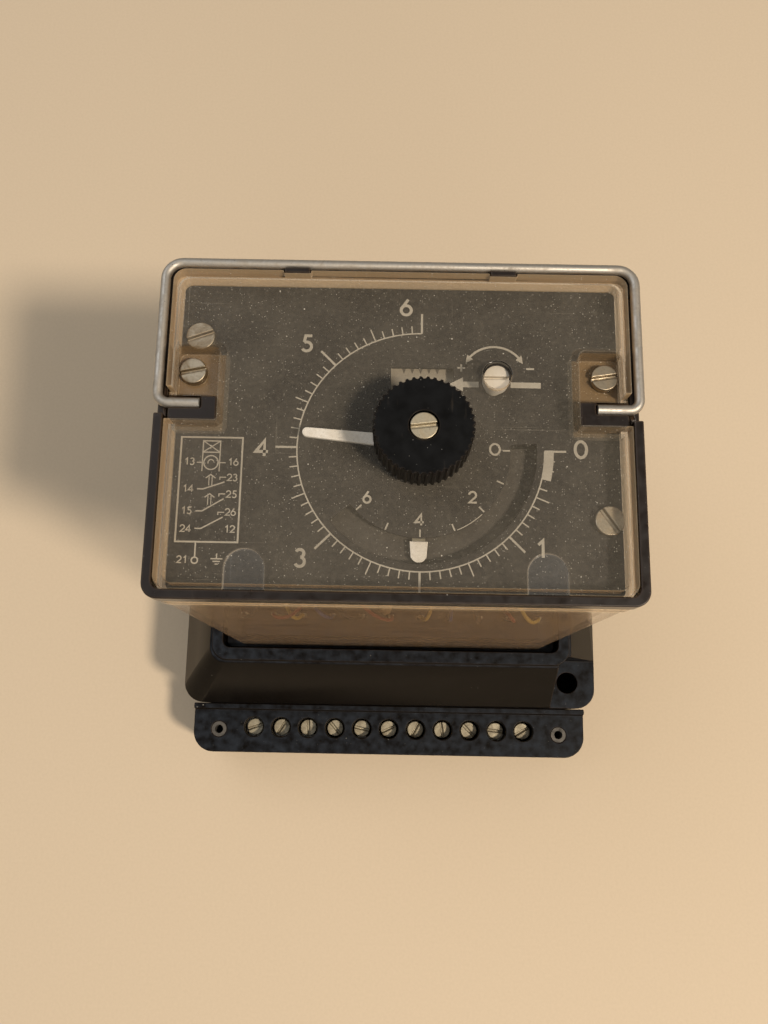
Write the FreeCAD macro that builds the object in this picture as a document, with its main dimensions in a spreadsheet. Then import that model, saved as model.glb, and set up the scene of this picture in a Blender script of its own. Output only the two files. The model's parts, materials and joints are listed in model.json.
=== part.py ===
import FreeCAD, Part

import os
import types

import Sketcher

# Plug-in electromechanical time relay on its screw-terminal socket, millimetres.
# X runs along the terminal rows, Y from the front row to the rear row, Z up.
# The origin is the centre of the socket's underside.

DIMENSIONS = {
    # socket moulding
    "skirt_half_x": 74.3,
    "skirt_half_y": 59.5,
    "skirt_top": 39.0,
    "skirt_radius": 7.0,
    "slope_top": 58.6,
    "slope_margin": 0.8,
    "collar_root": 2.0,
    "collar_half_x": 61.5,
    "collar_half_y": 45.4,
    "collar_top": 60.0,
    "collar_radius": 5.5,
    "recess_half_x": 57.7,
    "recess_half_y": 41.1,
    "recess_floor": 44.0,
    "recess_radius": 2.5,
    "floor_thickness": 4.0,
    "plate_rebate": 3.0,
    "skirt_wall": 4.0,
    "lower_hollow_half_x": 66.5,
    "lower_hollow_top": 22.0,
    "upper_hollow_half_x": 54.0,
    "upper_hollow_half_y": 37.6,
    "tail_window_half_x": 53.0,
    "tail_window_low": 19.4,
    "ear_x": 64.4,
    "ear_y": 50.4,
    "ear_inner_x": 58.0,
    "ear_inner_y": 42.4,
    "ear_hole_radius": 3.65,
    "ear_column_radius": 7.4,
    "bottom_plate_thickness": 1.6,
    "bottom_plate_half_x": 69.7,
    "bottom_plate_half_y": 72.0,
    # terminal strips
    "strip_half_x": 72.3,
    "strip_outer": 77.2,
    "strip_step": 61.7,
    "strip_inner": 59.6,
    "strip_top": 28.0,
    "strip_ledge": 30.0,
    "strip_radius": 7.5,
    "terminal_pitch": 10.0,
    "terminal_y": 68.0,
    "terminal_hole_radius": 3.5,
    "chamber_half_x": 3.9,
    "chamber_inner": 62.6,
    "chamber_outer": 73.6,
    "chamber_top": 22.0,
    "wire_entry_radius": 1.8,
    "wire_entry_z": 18.6,
    "end_rivet_x": 62.9,
    "end_rivet_y": 69.0,
    "rivet_radius": 2.0,
    "rivet_bore": 1.5,
    "rivet_head_radius": 2.75,
    "rivet_head": 0.6,
    # terminals and contacts in the socket
    "block_half_x": 3.6,
    "block_low": 12.0,
    "tail_low": 20.0,
    "tail_thickness": 0.8,
    "tail_half_x": 2.2,
    "clamp_half": 3.4,
    "clamp_thickness": 1.0,
    "terminal_head_radius": 3.0,
    "terminal_head": 2.3,
    "terminal_shank_radius": 2.0,
    "slot_width": 0.9,
    "slot_depth": 1.1,
    "leaf": 0.5,
    "leaf_gap": 0.1,
    "leaf_top": 39.0,
    "leaf_bridge": 23.0,
    # plug blades of the relay unit
    "blade_y": 30.0,
    "blade_thickness": 0.8,
    "blade_half_x": 2.5,
    "blade_tip": 28.0,
    "blade_slot_clearance": 0.2,
    "tag_half_x": 1.0,
    "tag_top": 66.0,
    # relay base
    "base_half_x": 57.2,
    "base_half_y": 40.6,
    "base_top": 54.0,
    "plinth_half_x": 51.0,
    "plinth_half_y": 36.9,
    "plinth_top": 60.0,
    # clear cover
    "cover_half_x": 53.4,
    "cover_half_y": 39.6,
    "cover_wall": 1.5,
    "cover_radius": 3.0,
    "bead_low": 172.8,
    "bead": 0.3,
    "bead_top": 174.0,
    "shoulder": 177.3,
    "crown_half_x": 52.7,
    "crown_half_y": 37.5,
    "crown_top": 182.0,
    "crown_thickness": 2.0,
    "pocket_inner": 41.0,
    "pocket_front": 0.9,
    "pocket_rear": 18.6,
    "pocket_floor": 175.8,
    "pocket_wall": 1.3,
    "pocket_floor_thickness": 1.5,
    "pocket_radius": 1.5,
    "pocket_notch_rear": 8.6,
    "spot_face_radius": 3.0,
    "spot_face": 0.4,
    "arch_x": 32.9,
    "arch_half_x": 4.4,
    "arch_rear": -28.5,
    "arch_depth": 0.5,
    "shaft_opening_radius": 4.5,
    "clip_x": 24.0,
    "clip_half_x": 3.0,
    "clip_y": 36.8,
    # rim frame and wire bail
    "rim_half_x": 55.0,
    "rim_half_y": 39.8,
    "rim_inner_x": 52.8,
    "rim_inner_y": 37.6,
    "rim_top": 182.3,
    "rim_radius": 3.6,
    "ledge_top": 178.8,
    "rim_step_y": 2.1,
    "lug_front": 1.1,
    "lug_rear": 6.9,
    "lug_top": 180.4,
    "lug_inner": 41.3,
    "lug_root": 0.5,
    "clip_drop": 0.2,
    "clip_root_near": 0.05,
    "clip_root_far": 0.7,
    "clip_hook": 0.4,
    "bail_y": 5.2,
    "bail_z": 180.0,
    "bail_arm_x": 54.9,
    "bail_rear": 39.8,
    "bail_wire_radius": 1.15,
    "bail_tip_x": 45.2,
    "bail_elbow": 2.5,
    "bail_corner": 4.0,
    "bail_clearance": 0.06,
    # scale plate
    "scale_half_x": 51.6,
    "scale_front": -36.8,
    "scale_rear": 37.4,
    "scale_low": 172.8,
    "scale_thickness": 1.0,
    "scale_radius": 1.5,
    "dial_x": 5.4,
    "dial_y": -3.0,
    "arc_inner": 20.9,
    "arc_outer": 26.9,
    "arc_outset_angle": 4.0,
    "arc_sweep_angle": 144.5,
    "window_x": 5.6,
    "window_y": 13.9,
    "window_width": 14.8,
    "window_depth": 6.4,
    "selector_x": 22.4,
    "selector_y": 12.5,
    "selector_opening": 3.22,
    "backing_low": 169.0,
    "backing_thickness": 0.8,
    "backing_inner": 19.4,
    "backing_outer": 28.4,
    "backing_sweep_angle": 156.0,
    "backing_post_radius": 1.2,
    "plate_screw_right_x": 48.3,
    "plate_screw_right_y": -19.5,
    "plate_screw_left_x": -46.9,
    "plate_screw_left_y": 23.4,
    "plate_screw_head_radius": 3.4,
    "plate_screw_head": 1.9,
    "cover_screw_x": 47.7,
    "cover_screw_y": 13.9,
    "cover_screw_head_radius": 3.1,
    "cover_screw_head": 2.0,
    "screw_radius": 2.0,
    "screw_hole_radius": 2.2,
    # movement plates and pillars
    "movement_half_x": 50.5,
    "movement_half_y": 34.0,
    "movement_thickness": 1.5,
    "lower_plate_low": 138.0,
    "upper_plate_low": 162.0,
    "pillar_x": 45.5,
    "pillar_y": 30.0,
    "pillar_radius": 2.5,
    "standoff_radius": 3.0,
    "stud_radius": 1.5,
    "counterbore_radius": 3.1,
    "counterbore": 3.0,
    "far_pillar_share": 0.8,
    "base_thread": 8.0,
    "base_screw_head": 2.2,
    "base_screw_head_radius": 2.8,
    # gears
    "module_size": 0.8,
    "addendum": 0.68,
    "dedendum": 0.95,
    "tooth_root_half": 0.95,
    "tooth_tip_half": 0.24,
    "pinion_teeth": 12,
    "main_teeth": 60,
    "reduction_teeth": 36,
    "range_teeth": 32,
    "gear_thickness": 1.5,
    "pinion_thickness": 3.5,
    "reduction_angle": 205.0,
    "rotor_angle": 110.0,
    "main_wheel_low": 156.0,
    "reduction_wheel_low": 148.0,
    "range_wheel_low": 168.6,
    "range_disc_radius": 11.6,
    "range_disc": 0.8,
    "arbor_radius": 1.5,
    "tube_radius": 3.0,
    "running_clearance": 0.05,
    "bush_wall": 1.5,
    "range_axis_x": 5.9,
    # knob, pointer and indicator
    "knob_radius": 11.0,
    "knob_low": 182.7,
    "knob_top": 192.0,
    "knob_grooves": 44,
    "groove_radius": 0.48,
    "knob_recess_radius": 3.3,
    "knob_recess": 1.7,
    "knob_screw_radius": 3.0,
    "knob_screw_head": 1.5,
    "knob_thread": 4.0,
    "shaft_radius": 2.0,
    "shaft_top": 188.0,
    "pointer_length": 27.3,
    "pointer_low": 177.4,
    "pointer_thickness": 1.0,
    "pointer_half_root": 1.6,
    "pointer_half_tip": 1.1,
    "pointer_hub_radius": 4.0,
    "pointer_hub": 2.2,
    "pointer_angle": 174.8,
    "indicator_low": 170.6,
    "indicator_thickness": 1.0,
    "indicator_angle": -90.5,
    "flag_inner": 21.4,
    "flag_outer": 26.3,
    "flag_half_inner": 2.1,
    "flag_half_outer": 1.5,
    "cam_angle": 140.0,
    "cam_radius": 7.0,
    "cam_lobe": 9.4,
    "stop_arm_low": 143.4,
    "stop_arm_length": 14.0,
    "stop_arm_thickness": 1.6,
    # range selector
    "selector_head_radius": 3.02,
    "selector_head_top": 180.0,
    "selector_head": 3.0,
    "selector_slot": 0.75,
    "selector_slot_depth": 1.2,
    # synchronous motor
    "motor_radius": 21.0,
    "motor_low": 112.0,
    "motor_wall": 1.2,
    "motor_coil_inner": 12.0,
    "motor_coil_outer": 19.0,
    "motor_coil_low": 116.0,
    "motor_coil_top": 130.0,
    "rotor_radius": 6.0,
    # clutch electromagnet
    "clutch_x": 27.0,
    "clutch_y": 6.0,
    "yoke_left": 12.0,
    "yoke_right": 44.0,
    "yoke_half_y": 14.0,
    "yoke_thickness": 3.0,
    "yoke_back_top": 102.0,
    "core_radius": 4.5,
    "core_top": 101.0,
    "bobbin_radius": 13.0,
    "bobbin_wall": 1.0,
    "coil_radius": 12.4,
    "bobbin_top": 99.5,
    "armature_pin_x": 46.5,
    "armature_pin_z": 104.5,
    "armature_pin_radius": 1.0,
    "armature_half_y": 12.0,
    "armature_left": 14.0,
    "armature_half_thickness": 1.0,
    # contact stacks and trip shaft
    "stack_y": -17.5,
    "stack_half_x": 4.5,
    "stack_half_y": 6.0,
    "stack_block_height": 12.0,
    "stack_leaf_top": 102.0,
    "stack_leaf_spacing": 3.6,
    "contact_radius": 1.4,
    "contact_height": 97.0,
    "contact_thickness": 0.7,
    "trip_x": -2.0,
    "trip_y": -30.5,
    "trip_low": 92.0,
    "trip_arm_half": 1.5,
    "trip_upper_arm": 151.0,
    "trip_lower_arm": 94.0,
    "trip_arm_thickness": 2.0,
    "trip_arm_gap": 9.0,
    "trip_arm_reach_x": 14.0,
    "trip_arm_reach_y": 6.0,
    # fits and overlaps
    "overshoot": 1.0,
    "overlap": 1.0,
    "fit_gap": 0.1,
    "plate_gap": 0.2,
    "chamber_gap": 0.3,
    "tail_gap": 0.4,
}

TERMINAL_COUNT = 11
CONTACT_STACKS = {"instant_contact": (17.0, 31.0), "delay_contact": (-31.0, -17.0)}

doc = FreeCAD.newDocument("TimeRelay")


# ---------------------------------------------------------------- sheet and bound sizes


class Size:
    """A value of the sheet, or a sum or product of such values, with its expression."""

    def __init__(self, value, text):
        self.value = value
        self.text = text

    def __add__(self, other):
        other = as_size(other)
        return Size(self.value + other.value, f"({self.text} + {other.text})")

    def __sub__(self, other):
        other = as_size(other)
        return Size(self.value - other.value, f"({self.text} - {other.text})")

    def __mul__(self, other):
        other = as_size(other)
        return Size(self.value * other.value, f"({self.text} * {other.text})")

    def __truediv__(self, other):
        other = as_size(other)
        return Size(self.value / other.value, f"({self.text} / {other.text})")

    def __rtruediv__(self, other):
        return as_size(other) / self

    def __radd__(self, other):
        return as_size(other) + self

    def __rsub__(self, other):
        return as_size(other) - self

    def __rmul__(self, other):
        return as_size(other) * self

    def __neg__(self):
        return Size(-self.value, f"(0 - {self.text})")


def as_size(number):
    """A plain number as a Size."""
    return number if isinstance(number, Size) else Size(number, f"{number:g}")


sheet = doc.addObject("Spreadsheet::Sheet", "dims")
for row, (alias, value) in enumerate(DIMENSIONS.items(), start=1):
    sheet.set(f"A{row}", alias)
    sheet.set(f"B{row}", str(value))
    sheet.setAlias(f"B{row}", alias)
doc.recompute()
d = types.SimpleNamespace(**{k: Size(v, f"dims.{k}") for k, v in DIMENSIONS.items()})


def cosine(angle):
    """Cosine of an angle in degrees, as a Size."""
    value = FreeCAD.Rotation(FreeCAD.Vector(0, 0, 1), angle.value).multVec(FreeCAD.Vector(1, 0, 0)).x
    return Size(value, f"cos({angle.text})")


def sine(angle):
    """Sine of an angle in degrees, as a Size."""
    value = FreeCAD.Rotation(FreeCAD.Vector(0, 0, 1), angle.value).multVec(FreeCAD.Vector(1, 0, 0)).y
    return Size(value, f"sin({angle.text})")


def bind(obj, prop, size):
    """Binds a property of obj to an expression on the sheet."""
    obj.setExpression(prop, as_size(size).text)


def move(obj, x=0, y=0, z=0, angle=None):
    """Places obj at x, y, z, turned about Z by an angle in degrees."""
    if angle is not None:
        turned = FreeCAD.Rotation(FreeCAD.Vector(0, 0, 1), as_size(angle).value)
        obj.Placement = FreeCAD.Placement(FreeCAD.Vector(), turned)
        bind(obj, "Placement.Rotation.Angle", angle)
    for axis, size in zip("xyz", (x, y, z)):
        bind(obj, f"Placement.Base.{axis}", size)
    return obj


# ---------------------------------------------------------------- primitives and booleans


def box(name, x, y, z):
    """A block between the (low, high) pairs x, y and z."""
    obj = doc.addObject("Part::Box", name)
    for prop, (low, high) in zip(("Length", "Width", "Height"), (x, y, z)):
        bind(obj, prop, as_size(high) - low)
    return move(obj, x[0], y[0], z[0])


def rod(name, x, y, z, radius):
    """A cylinder along the axis whose coordinate is a (low, high) pair."""
    obj = doc.addObject("Part::Cylinder", name)
    turns = {0: ((0, 1, 0), 90), 1: ((1, 0, 0), -90), 2: ((0, 0, 1), 0)}
    along = [isinstance(c, tuple) for c in (x, y, z)].index(True)
    axis, angle = turns[along]
    obj.Placement.Rotation = FreeCAD.Rotation(FreeCAD.Vector(*axis), angle)
    low, high = (x, y, z)[along]
    bind(obj, "Radius", radius)
    bind(obj, "Height", as_size(high) - low)
    start = [c[0] if isinstance(c, tuple) else c for c in (x, y, z)]
    return move(obj, *start)


def cut(name, base, *tools):
    """base with the tools removed."""
    obj = doc.addObject("Part::Cut", name)
    obj.Base = base
    obj.Tool = tools[0] if len(tools) == 1 else fuse(name + "_tools", *tools)
    return obj


def fuse(name, *parts):
    """The parts joined into one solid."""
    obj = doc.addObject("Part::MultiFuse", name)
    obj.Shapes = list(parts)
    return obj


def group(name, parts):
    """Identical separate solids in one node."""
    obj = doc.addObject("Part::Compound", name)
    obj.Links = list(parts)
    return obj


def ring(name, x, y, z, outer, inner):
    """A tube between two radii."""
    return cut(name, rod(name + "_outer", x, y, z, outer), rod(name + "_bore", x, y, z, inner))


def slotted_screw(name, head_radius, head, shank_radius, shank):
    """A cheese-head screw at the origin, with the head's seat at Z 0."""
    solid = fuse(
        name + "_blank",
        rod(name + "_head", 0, 0, (as_size(0), head), head_radius),
        rod(name + "_shank", 0, 0, (-shank, as_size(0)), shank_radius),
    )
    reach = head_radius + d.overshoot
    slot = box(
        name + "_slot",
        (-reach, reach),
        (-d.slot_width / 2, d.slot_width / 2),
        (head - d.slot_depth, head + d.overshoot),
    )
    return cut(name, solid, slot)


# ---------------------------------------------------------------- part design bodies


def bound_constraint(sketch, name, size, *definition):
    """Adds a dimensional constraint to sketch and binds it to the sheet."""
    index = sketch.addConstraint(Sketcher.Constraint(*definition, as_size(size).value))
    sketch.renameConstraint(index, name)
    bind(sketch, f"Constraints.{name}", size)


def circle(radius):
    """An outline: a circle about the sketch's origin."""

    def draw(sketch):
        blank = Part.Circle(FreeCAD.Vector(), FreeCAD.Vector(0, 0, 1), as_size(radius).value)
        sketch.addGeometry(blank, False)
        sketch.addConstraint(Sketcher.Constraint("Coincident", 0, 3, -1, 1))
        bound_constraint(sketch, "radius", radius, "Radius", 0)

    return draw


def rectangle(half_x, half_y, front_radius=None, rear_radius=None):
    """An outline: a rectangle about the sketch's origin, with rounded corners where radii are given."""

    def draw(sketch):
        hx, hy = as_size(half_x).value, as_size(half_y).value
        radii = (front_radius, front_radius, rear_radius, rear_radius)
        corners = ((-hx, -hy), (hx, -hy), (hx, hy), (-hx, hy))
        inward = ((1, 1), (-1, 1), (-1, -1), (1, -1))
        r = [as_size(x).value if x is not None else 0.0 for x in radii]
        for i in range(4):
            j = (i + 1) % 4
            along = FreeCAD.Vector(corners[j][0] - corners[i][0], corners[j][1] - corners[i][1], 0)
            along.normalize()
            start = FreeCAD.Vector(*corners[i], 0) + along * r[i]
            end = FreeCAD.Vector(*corners[j], 0) - along * r[j]
            sketch.addGeometry(Part.LineSegment(start, end), False)
            sketch.addConstraint(Sketcher.Constraint("Vertical" if i % 2 else "Horizontal", i))
        for i in range(4):
            before = (i - 1) % 4
            if radii[i] is None:
                sketch.addConstraint(Sketcher.Constraint("Coincident", before, 2, i, 1))
                continue
            centre = FreeCAD.Vector(
                corners[i][0] + inward[i][0] * r[i], corners[i][1] + inward[i][1] * r[i], 0
            )
            whole = Part.Circle(centre, FreeCAD.Vector(0, 0, 1), r[i])
            quarter = FreeCAD.Units.Quantity("90 deg").getValueAs("rad").Value
            first = quarter * (i + 2)
            arc = sketch.addGeometry(Part.ArcOfCircle(whole, first, first + quarter), False)
            sketch.addConstraint(Sketcher.Constraint("Tangent", before, 2, arc, 1))
            sketch.addConstraint(Sketcher.Constraint("Tangent", arc, 2, i, 1))
            bound_constraint(sketch, f"corner_{i}", radii[i], "Radius", arc)
        bound_constraint(sketch, "front", half_y, "DistanceY", 0, 1, -1, 1)
        bound_constraint(sketch, "right", half_x, "DistanceX", -1, 1, 1, 1)
        bound_constraint(sketch, "rear", half_y, "DistanceY", -1, 1, 2, 1)
        bound_constraint(sketch, "left", half_x, "DistanceX", 3, 1, -1, 1)

    return draw


def wedge(near, far, half_near, half_far):
    """An outline: a trapezium along X, even about the X axis, such as a gear tooth."""

    def draw(sketch):
        x0, x1, h0, h1 = (as_size(s).value for s in (near, far, half_near, half_far))
        points = [FreeCAD.Vector(*p, 0) for p in ((x0, -h0), (x1, -h1), (x1, h1), (x0, h0))]
        for i in range(4):
            sketch.addGeometry(Part.LineSegment(points[i], points[(i + 1) % 4]), False)
        for i in range(4):
            sketch.addConstraint(Sketcher.Constraint("Coincident", i, 2, (i + 1) % 4, 1))
        sketch.addConstraint(Sketcher.Constraint("Symmetric", 1, 1, 1, 2, -1))
        sketch.addConstraint(Sketcher.Constraint("Symmetric", 3, 1, 3, 2, -1))
        bound_constraint(sketch, "near", near, "DistanceX", -1, 1, 3, 1)
        bound_constraint(sketch, "far", far, "DistanceX", -1, 1, 1, 1)
        bound_constraint(sketch, "half_near", half_near, "DistanceY", -1, 1, 3, 1)
        bound_constraint(sketch, "half_far", half_far, "DistanceY", -1, 1, 1, 2)

    return draw


class Moulding:
    """A PartDesign body whose sketches all lie on planes parallel to its XY plane."""

    def __init__(self, name):
        self.body = doc.addObject("PartDesign::Body", name)
        planes = {f.Role: f for f in self.body.Origin.OriginFeatures}
        self.plane = planes["XY_Plane"]
        self.side_plane = planes["XZ_Plane"]
        self.x_axis = planes["X_Axis"]
        self.z_axis = planes["Z_Axis"]
        self.count = 0

    def _named(self, kind):
        self.count += 1
        return f"{self.body.Name}_{kind}_{self.count}"

    def sketch(self, outline, x, y, z):
        """A sketch at height z with its origin over x, y."""
        made = self.body.newObject("Sketcher::SketchObject", self._named("outline"))
        made.AttachmentSupport = [(self.plane, "")]
        made.MapMode = "FlatFace"
        for axis, size in zip("xyz", (x, y, z)):
            bind(made, f"AttachmentOffset.Base.{axis}", size)
        outline(made)
        return made

    def pad(self, outline, z, x=0, y=0):
        """Adds material between the heights z = (low, high)."""
        profile = self.sketch(outline, x, y, z[0])
        feature = self.body.newObject("PartDesign::Pad", self._named("pad"))
        feature.Profile = profile
        bind(feature, "Length", as_size(z[1]) - z[0])
        return feature

    def pocket(self, outline, z, x=0, y=0):
        """Removes material between the heights z = (low, high)."""
        profile = self.sketch(outline, x, y, z[1])
        feature = self.body.newObject("PartDesign::Pocket", self._named("pocket"))
        feature.Profile = profile
        bind(feature, "Length", as_size(z[1]) - z[0])
        return feature

    def side_pocket(self, outline, x, z, sign):
        """Bores from the middle of the wire chamber out through the strip's outer face."""
        made = self.body.newObject("Sketcher::SketchObject", self._named("outline"))
        made.AttachmentSupport = [(self.side_plane, "")]
        made.MapMode = "FlatFace"
        middle = sign * (d.chamber_inner + d.chamber_outer) / 2
        for axis, size in zip("xyz", (x, z, -middle)):
            bind(made, f"AttachmentOffset.Base.{axis}", size)
        outline(made)
        feature = self.body.newObject("PartDesign::Pocket", self._named("entry"))
        feature.Profile = made
        feature.Reversed = sign < 0
        bind(feature, "Length", d.strip_outer - (d.chamber_inner + d.chamber_outer) / 2 + d.overshoot)
        return feature

    def loft(self, lower, low, upper, high):
        """Adds a straight-sided transition between two outlines."""
        start = self.sketch(lower, 0, 0, low)
        end = self.sketch(upper, 0, 0, high)
        feature = self.body.newObject("PartDesign::AdditiveLoft", self._named("loft"))
        feature.Profile = start
        feature.Sections = [end]
        feature.Ruled = True
        return feature

    def row(self, feature, count, pitch):
        """Repeats a feature along X."""
        pattern = self.body.newObject("PartDesign::LinearPattern", self._named("row"))
        pattern.Originals = [feature]
        pattern.Direction = (self.x_axis, [""])
        pattern.Mode = "Spacing"
        pattern.Occurrences = count
        bind(pattern, "Offset", pitch)
        self.body.Tip = pattern
        return pattern

    def circuit(self, feature, count):
        """Repeats a feature evenly round the Z axis."""
        pattern = self.body.newObject("PartDesign::PolarPattern", self._named("circuit"))
        pattern.Originals = [feature]
        pattern.Axis = (self.z_axis, [""])
        pattern.Angle = 360
        pattern.Occurrences = int(as_size(count).value)
        bind(pattern, "Occurrences", count)
        self.body.Tip = pattern
        return pattern


SUBPARTS = []


def subpart(obj, label):
    """Registers an object as the sub-part with that name."""
    obj = obj.body if isinstance(obj, Moulding) else obj
    obj.Label = label
    SUBPARTS.append(obj)


def terminal_places():
    """X of each terminal of a row, from left to right."""
    middle = (TERMINAL_COUNT - 1) / 2
    return [(i - middle) * d.terminal_pitch for i in range(TERMINAL_COUNT)]


def facing(side, near, far):
    """The (low, high) pair of Y between two distances from the middle, at the front or rear."""
    return (-far, -near) if side == "front" else (near, far)


# ---------------------------------------------------------------- socket


def make_socket_body():
    """Bakelite moulding: sloping skirt, collar round the relay's recess, two screw ears."""
    m = Moulding("SocketBody")
    skirt = rectangle(d.skirt_half_x, d.skirt_half_y, d.skirt_radius, d.skirt_radius)
    shoulder = rectangle(
        d.collar_half_x + d.slope_margin,
        d.collar_half_y + d.slope_margin,
        d.collar_radius,
        d.collar_radius,
    )
    m.pad(skirt, (as_size(0), d.skirt_top))
    m.loft(skirt, d.skirt_top, shoulder, d.slope_top)
    ear_cut = rectangle(
        (d.skirt_half_x - d.ear_inner_x) / 2 + d.overshoot,
        (d.skirt_half_y - d.ear_inner_y) / 2 + d.overshoot,
    )
    cut_x = (d.skirt_half_x + d.ear_inner_x) / 2 + d.overshoot
    cut_y = (d.skirt_half_y + d.ear_inner_y) / 2 + d.overshoot
    for side in (1, -1):
        m.pocket(ear_cut, (d.skirt_top, d.collar_top), side * cut_x, -side * cut_y)
    collar = rectangle(d.collar_half_x, d.collar_half_y, d.collar_radius, d.collar_radius)
    m.pad(collar, (d.skirt_top - d.collar_root, d.collar_top))
    recess = rectangle(d.recess_half_x, d.recess_half_y, d.recess_radius, d.recess_radius)
    m.pocket(recess, (d.recess_floor, d.collar_top))
    rebate = rectangle(d.bottom_plate_half_x + d.plate_gap, d.skirt_half_y + d.overshoot)
    m.pocket(rebate, (as_size(0), d.plate_rebate))
    lower = rectangle(d.lower_hollow_half_x, d.skirt_half_y - d.skirt_wall)
    m.pocket(lower, (d.plate_rebate, d.lower_hollow_top))
    upper = rectangle(d.upper_hollow_half_x, d.upper_hollow_half_y)
    m.pocket(upper, (d.lower_hollow_top, d.recess_floor - d.floor_thickness))
    window = rectangle(d.tail_window_half_x, d.skirt_wall / 2 + d.overshoot)
    for side in (1, -1):
        window_y = side * (d.skirt_half_y - d.skirt_wall / 2)
        m.pocket(window, (d.tail_window_low, d.lower_hollow_top), 0, window_y)
    slot = rectangle(
        d.blade_half_x + d.blade_slot_clearance, d.blade_thickness / 2 + d.blade_slot_clearance
    )
    first_x = terminal_places()[0]
    floor = (d.recess_floor - d.floor_thickness, d.recess_floor)
    for side in (1, -1):
        first = m.pocket(slot, floor, first_x, side * d.blade_y)
        m.row(first, TERMINAL_COUNT, d.terminal_pitch)
    for side in (1, -1):
        x, y = side * d.ear_x, -side * d.ear_y
        m.pad(circle(d.ear_column_radius), (as_size(0), d.lower_hollow_top + d.overlap), x, y)
        m.pocket(circle(d.ear_hole_radius), (as_size(0), d.skirt_top), x, y)
    subpart(m, "socket_body")


def make_terminal_strip(side):
    """Bakelite strip with a chamber and a screw well for each terminal."""
    m = Moulding(f"TerminalStrip{side.title()}")
    sign = -1 if side == "front" else 1
    middle = sign * (d.strip_outer + d.strip_inner) / 2
    half = (d.strip_outer - d.strip_inner) / 2
    rounded = {"front_radius" if side == "front" else "rear_radius": d.strip_radius}
    m.pad(rectangle(d.strip_half_x, half, **rounded), (as_size(0), d.strip_top), 0, middle)
    ledge = rectangle(d.strip_half_x, (d.strip_step - d.strip_inner) / 2)
    ledge_y = sign * (d.strip_step + d.strip_inner) / 2
    m.pad(ledge, (d.strip_top - d.overlap, d.strip_ledge), 0, ledge_y)
    rebate_half = (d.bottom_plate_half_y + d.plate_gap - d.strip_inner + d.overshoot) / 2
    rebate_y = sign * (d.bottom_plate_half_y + d.plate_gap + d.strip_inner - d.overshoot) / 2
    rebate = rectangle(d.bottom_plate_half_x + d.plate_gap, rebate_half)
    m.pocket(rebate, (as_size(0), d.plate_rebate), 0, rebate_y)
    window = rectangle(d.tail_window_half_x, (d.chamber_inner - d.strip_inner + d.overshoot) / 2)
    window_y = sign * (d.chamber_inner + d.strip_inner) / 2
    m.pocket(window, (d.tail_window_low, d.chamber_top), 0, window_y)
    first_x = terminal_places()[0]
    chamber = rectangle(d.chamber_half_x, (d.chamber_outer - d.chamber_inner) / 2)
    chamber_y = sign * (d.chamber_outer + d.chamber_inner) / 2
    spaces = [
        m.pocket(chamber, (d.plate_rebate, d.chamber_top), first_x, chamber_y),
        m.pocket(
            circle(d.terminal_hole_radius),
            (d.chamber_top, d.strip_top),
            first_x,
            sign * d.terminal_y,
        ),
    ]
    spaces.append(m.side_pocket(circle(d.wire_entry_radius), first_x, d.wire_entry_z, sign))
    pattern = m.row(spaces[0], TERMINAL_COUNT, d.terminal_pitch)
    pattern.Originals = spaces
    for x in (-d.end_rivet_x, d.end_rivet_x):
        y = sign * d.end_rivet_y
        m.pocket(circle(d.rivet_radius), (as_size(0), d.strip_top), x, y)
        m.pocket(circle(d.rivet_head_radius), (d.strip_top - d.rivet_head, d.strip_top), x, y)
    subpart(m, f"terminal_strip_{side}")


def make_terminals():
    """Contact springs, terminal blocks, clamp plates and screws, each kind in one node."""
    kinds = {"contact_springs": [], "terminal_blocks": [], "clamp_plates": [], "terminal_screws": []}
    for side in ("front", "rear"):
        for made, pieces in zip(kinds.values(), make_terminal_row(side)):
            made.extend(pieces)
    for name, pieces in kinds.items():
        subpart(group(name.title().replace("_", ""), pieces), name)


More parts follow.
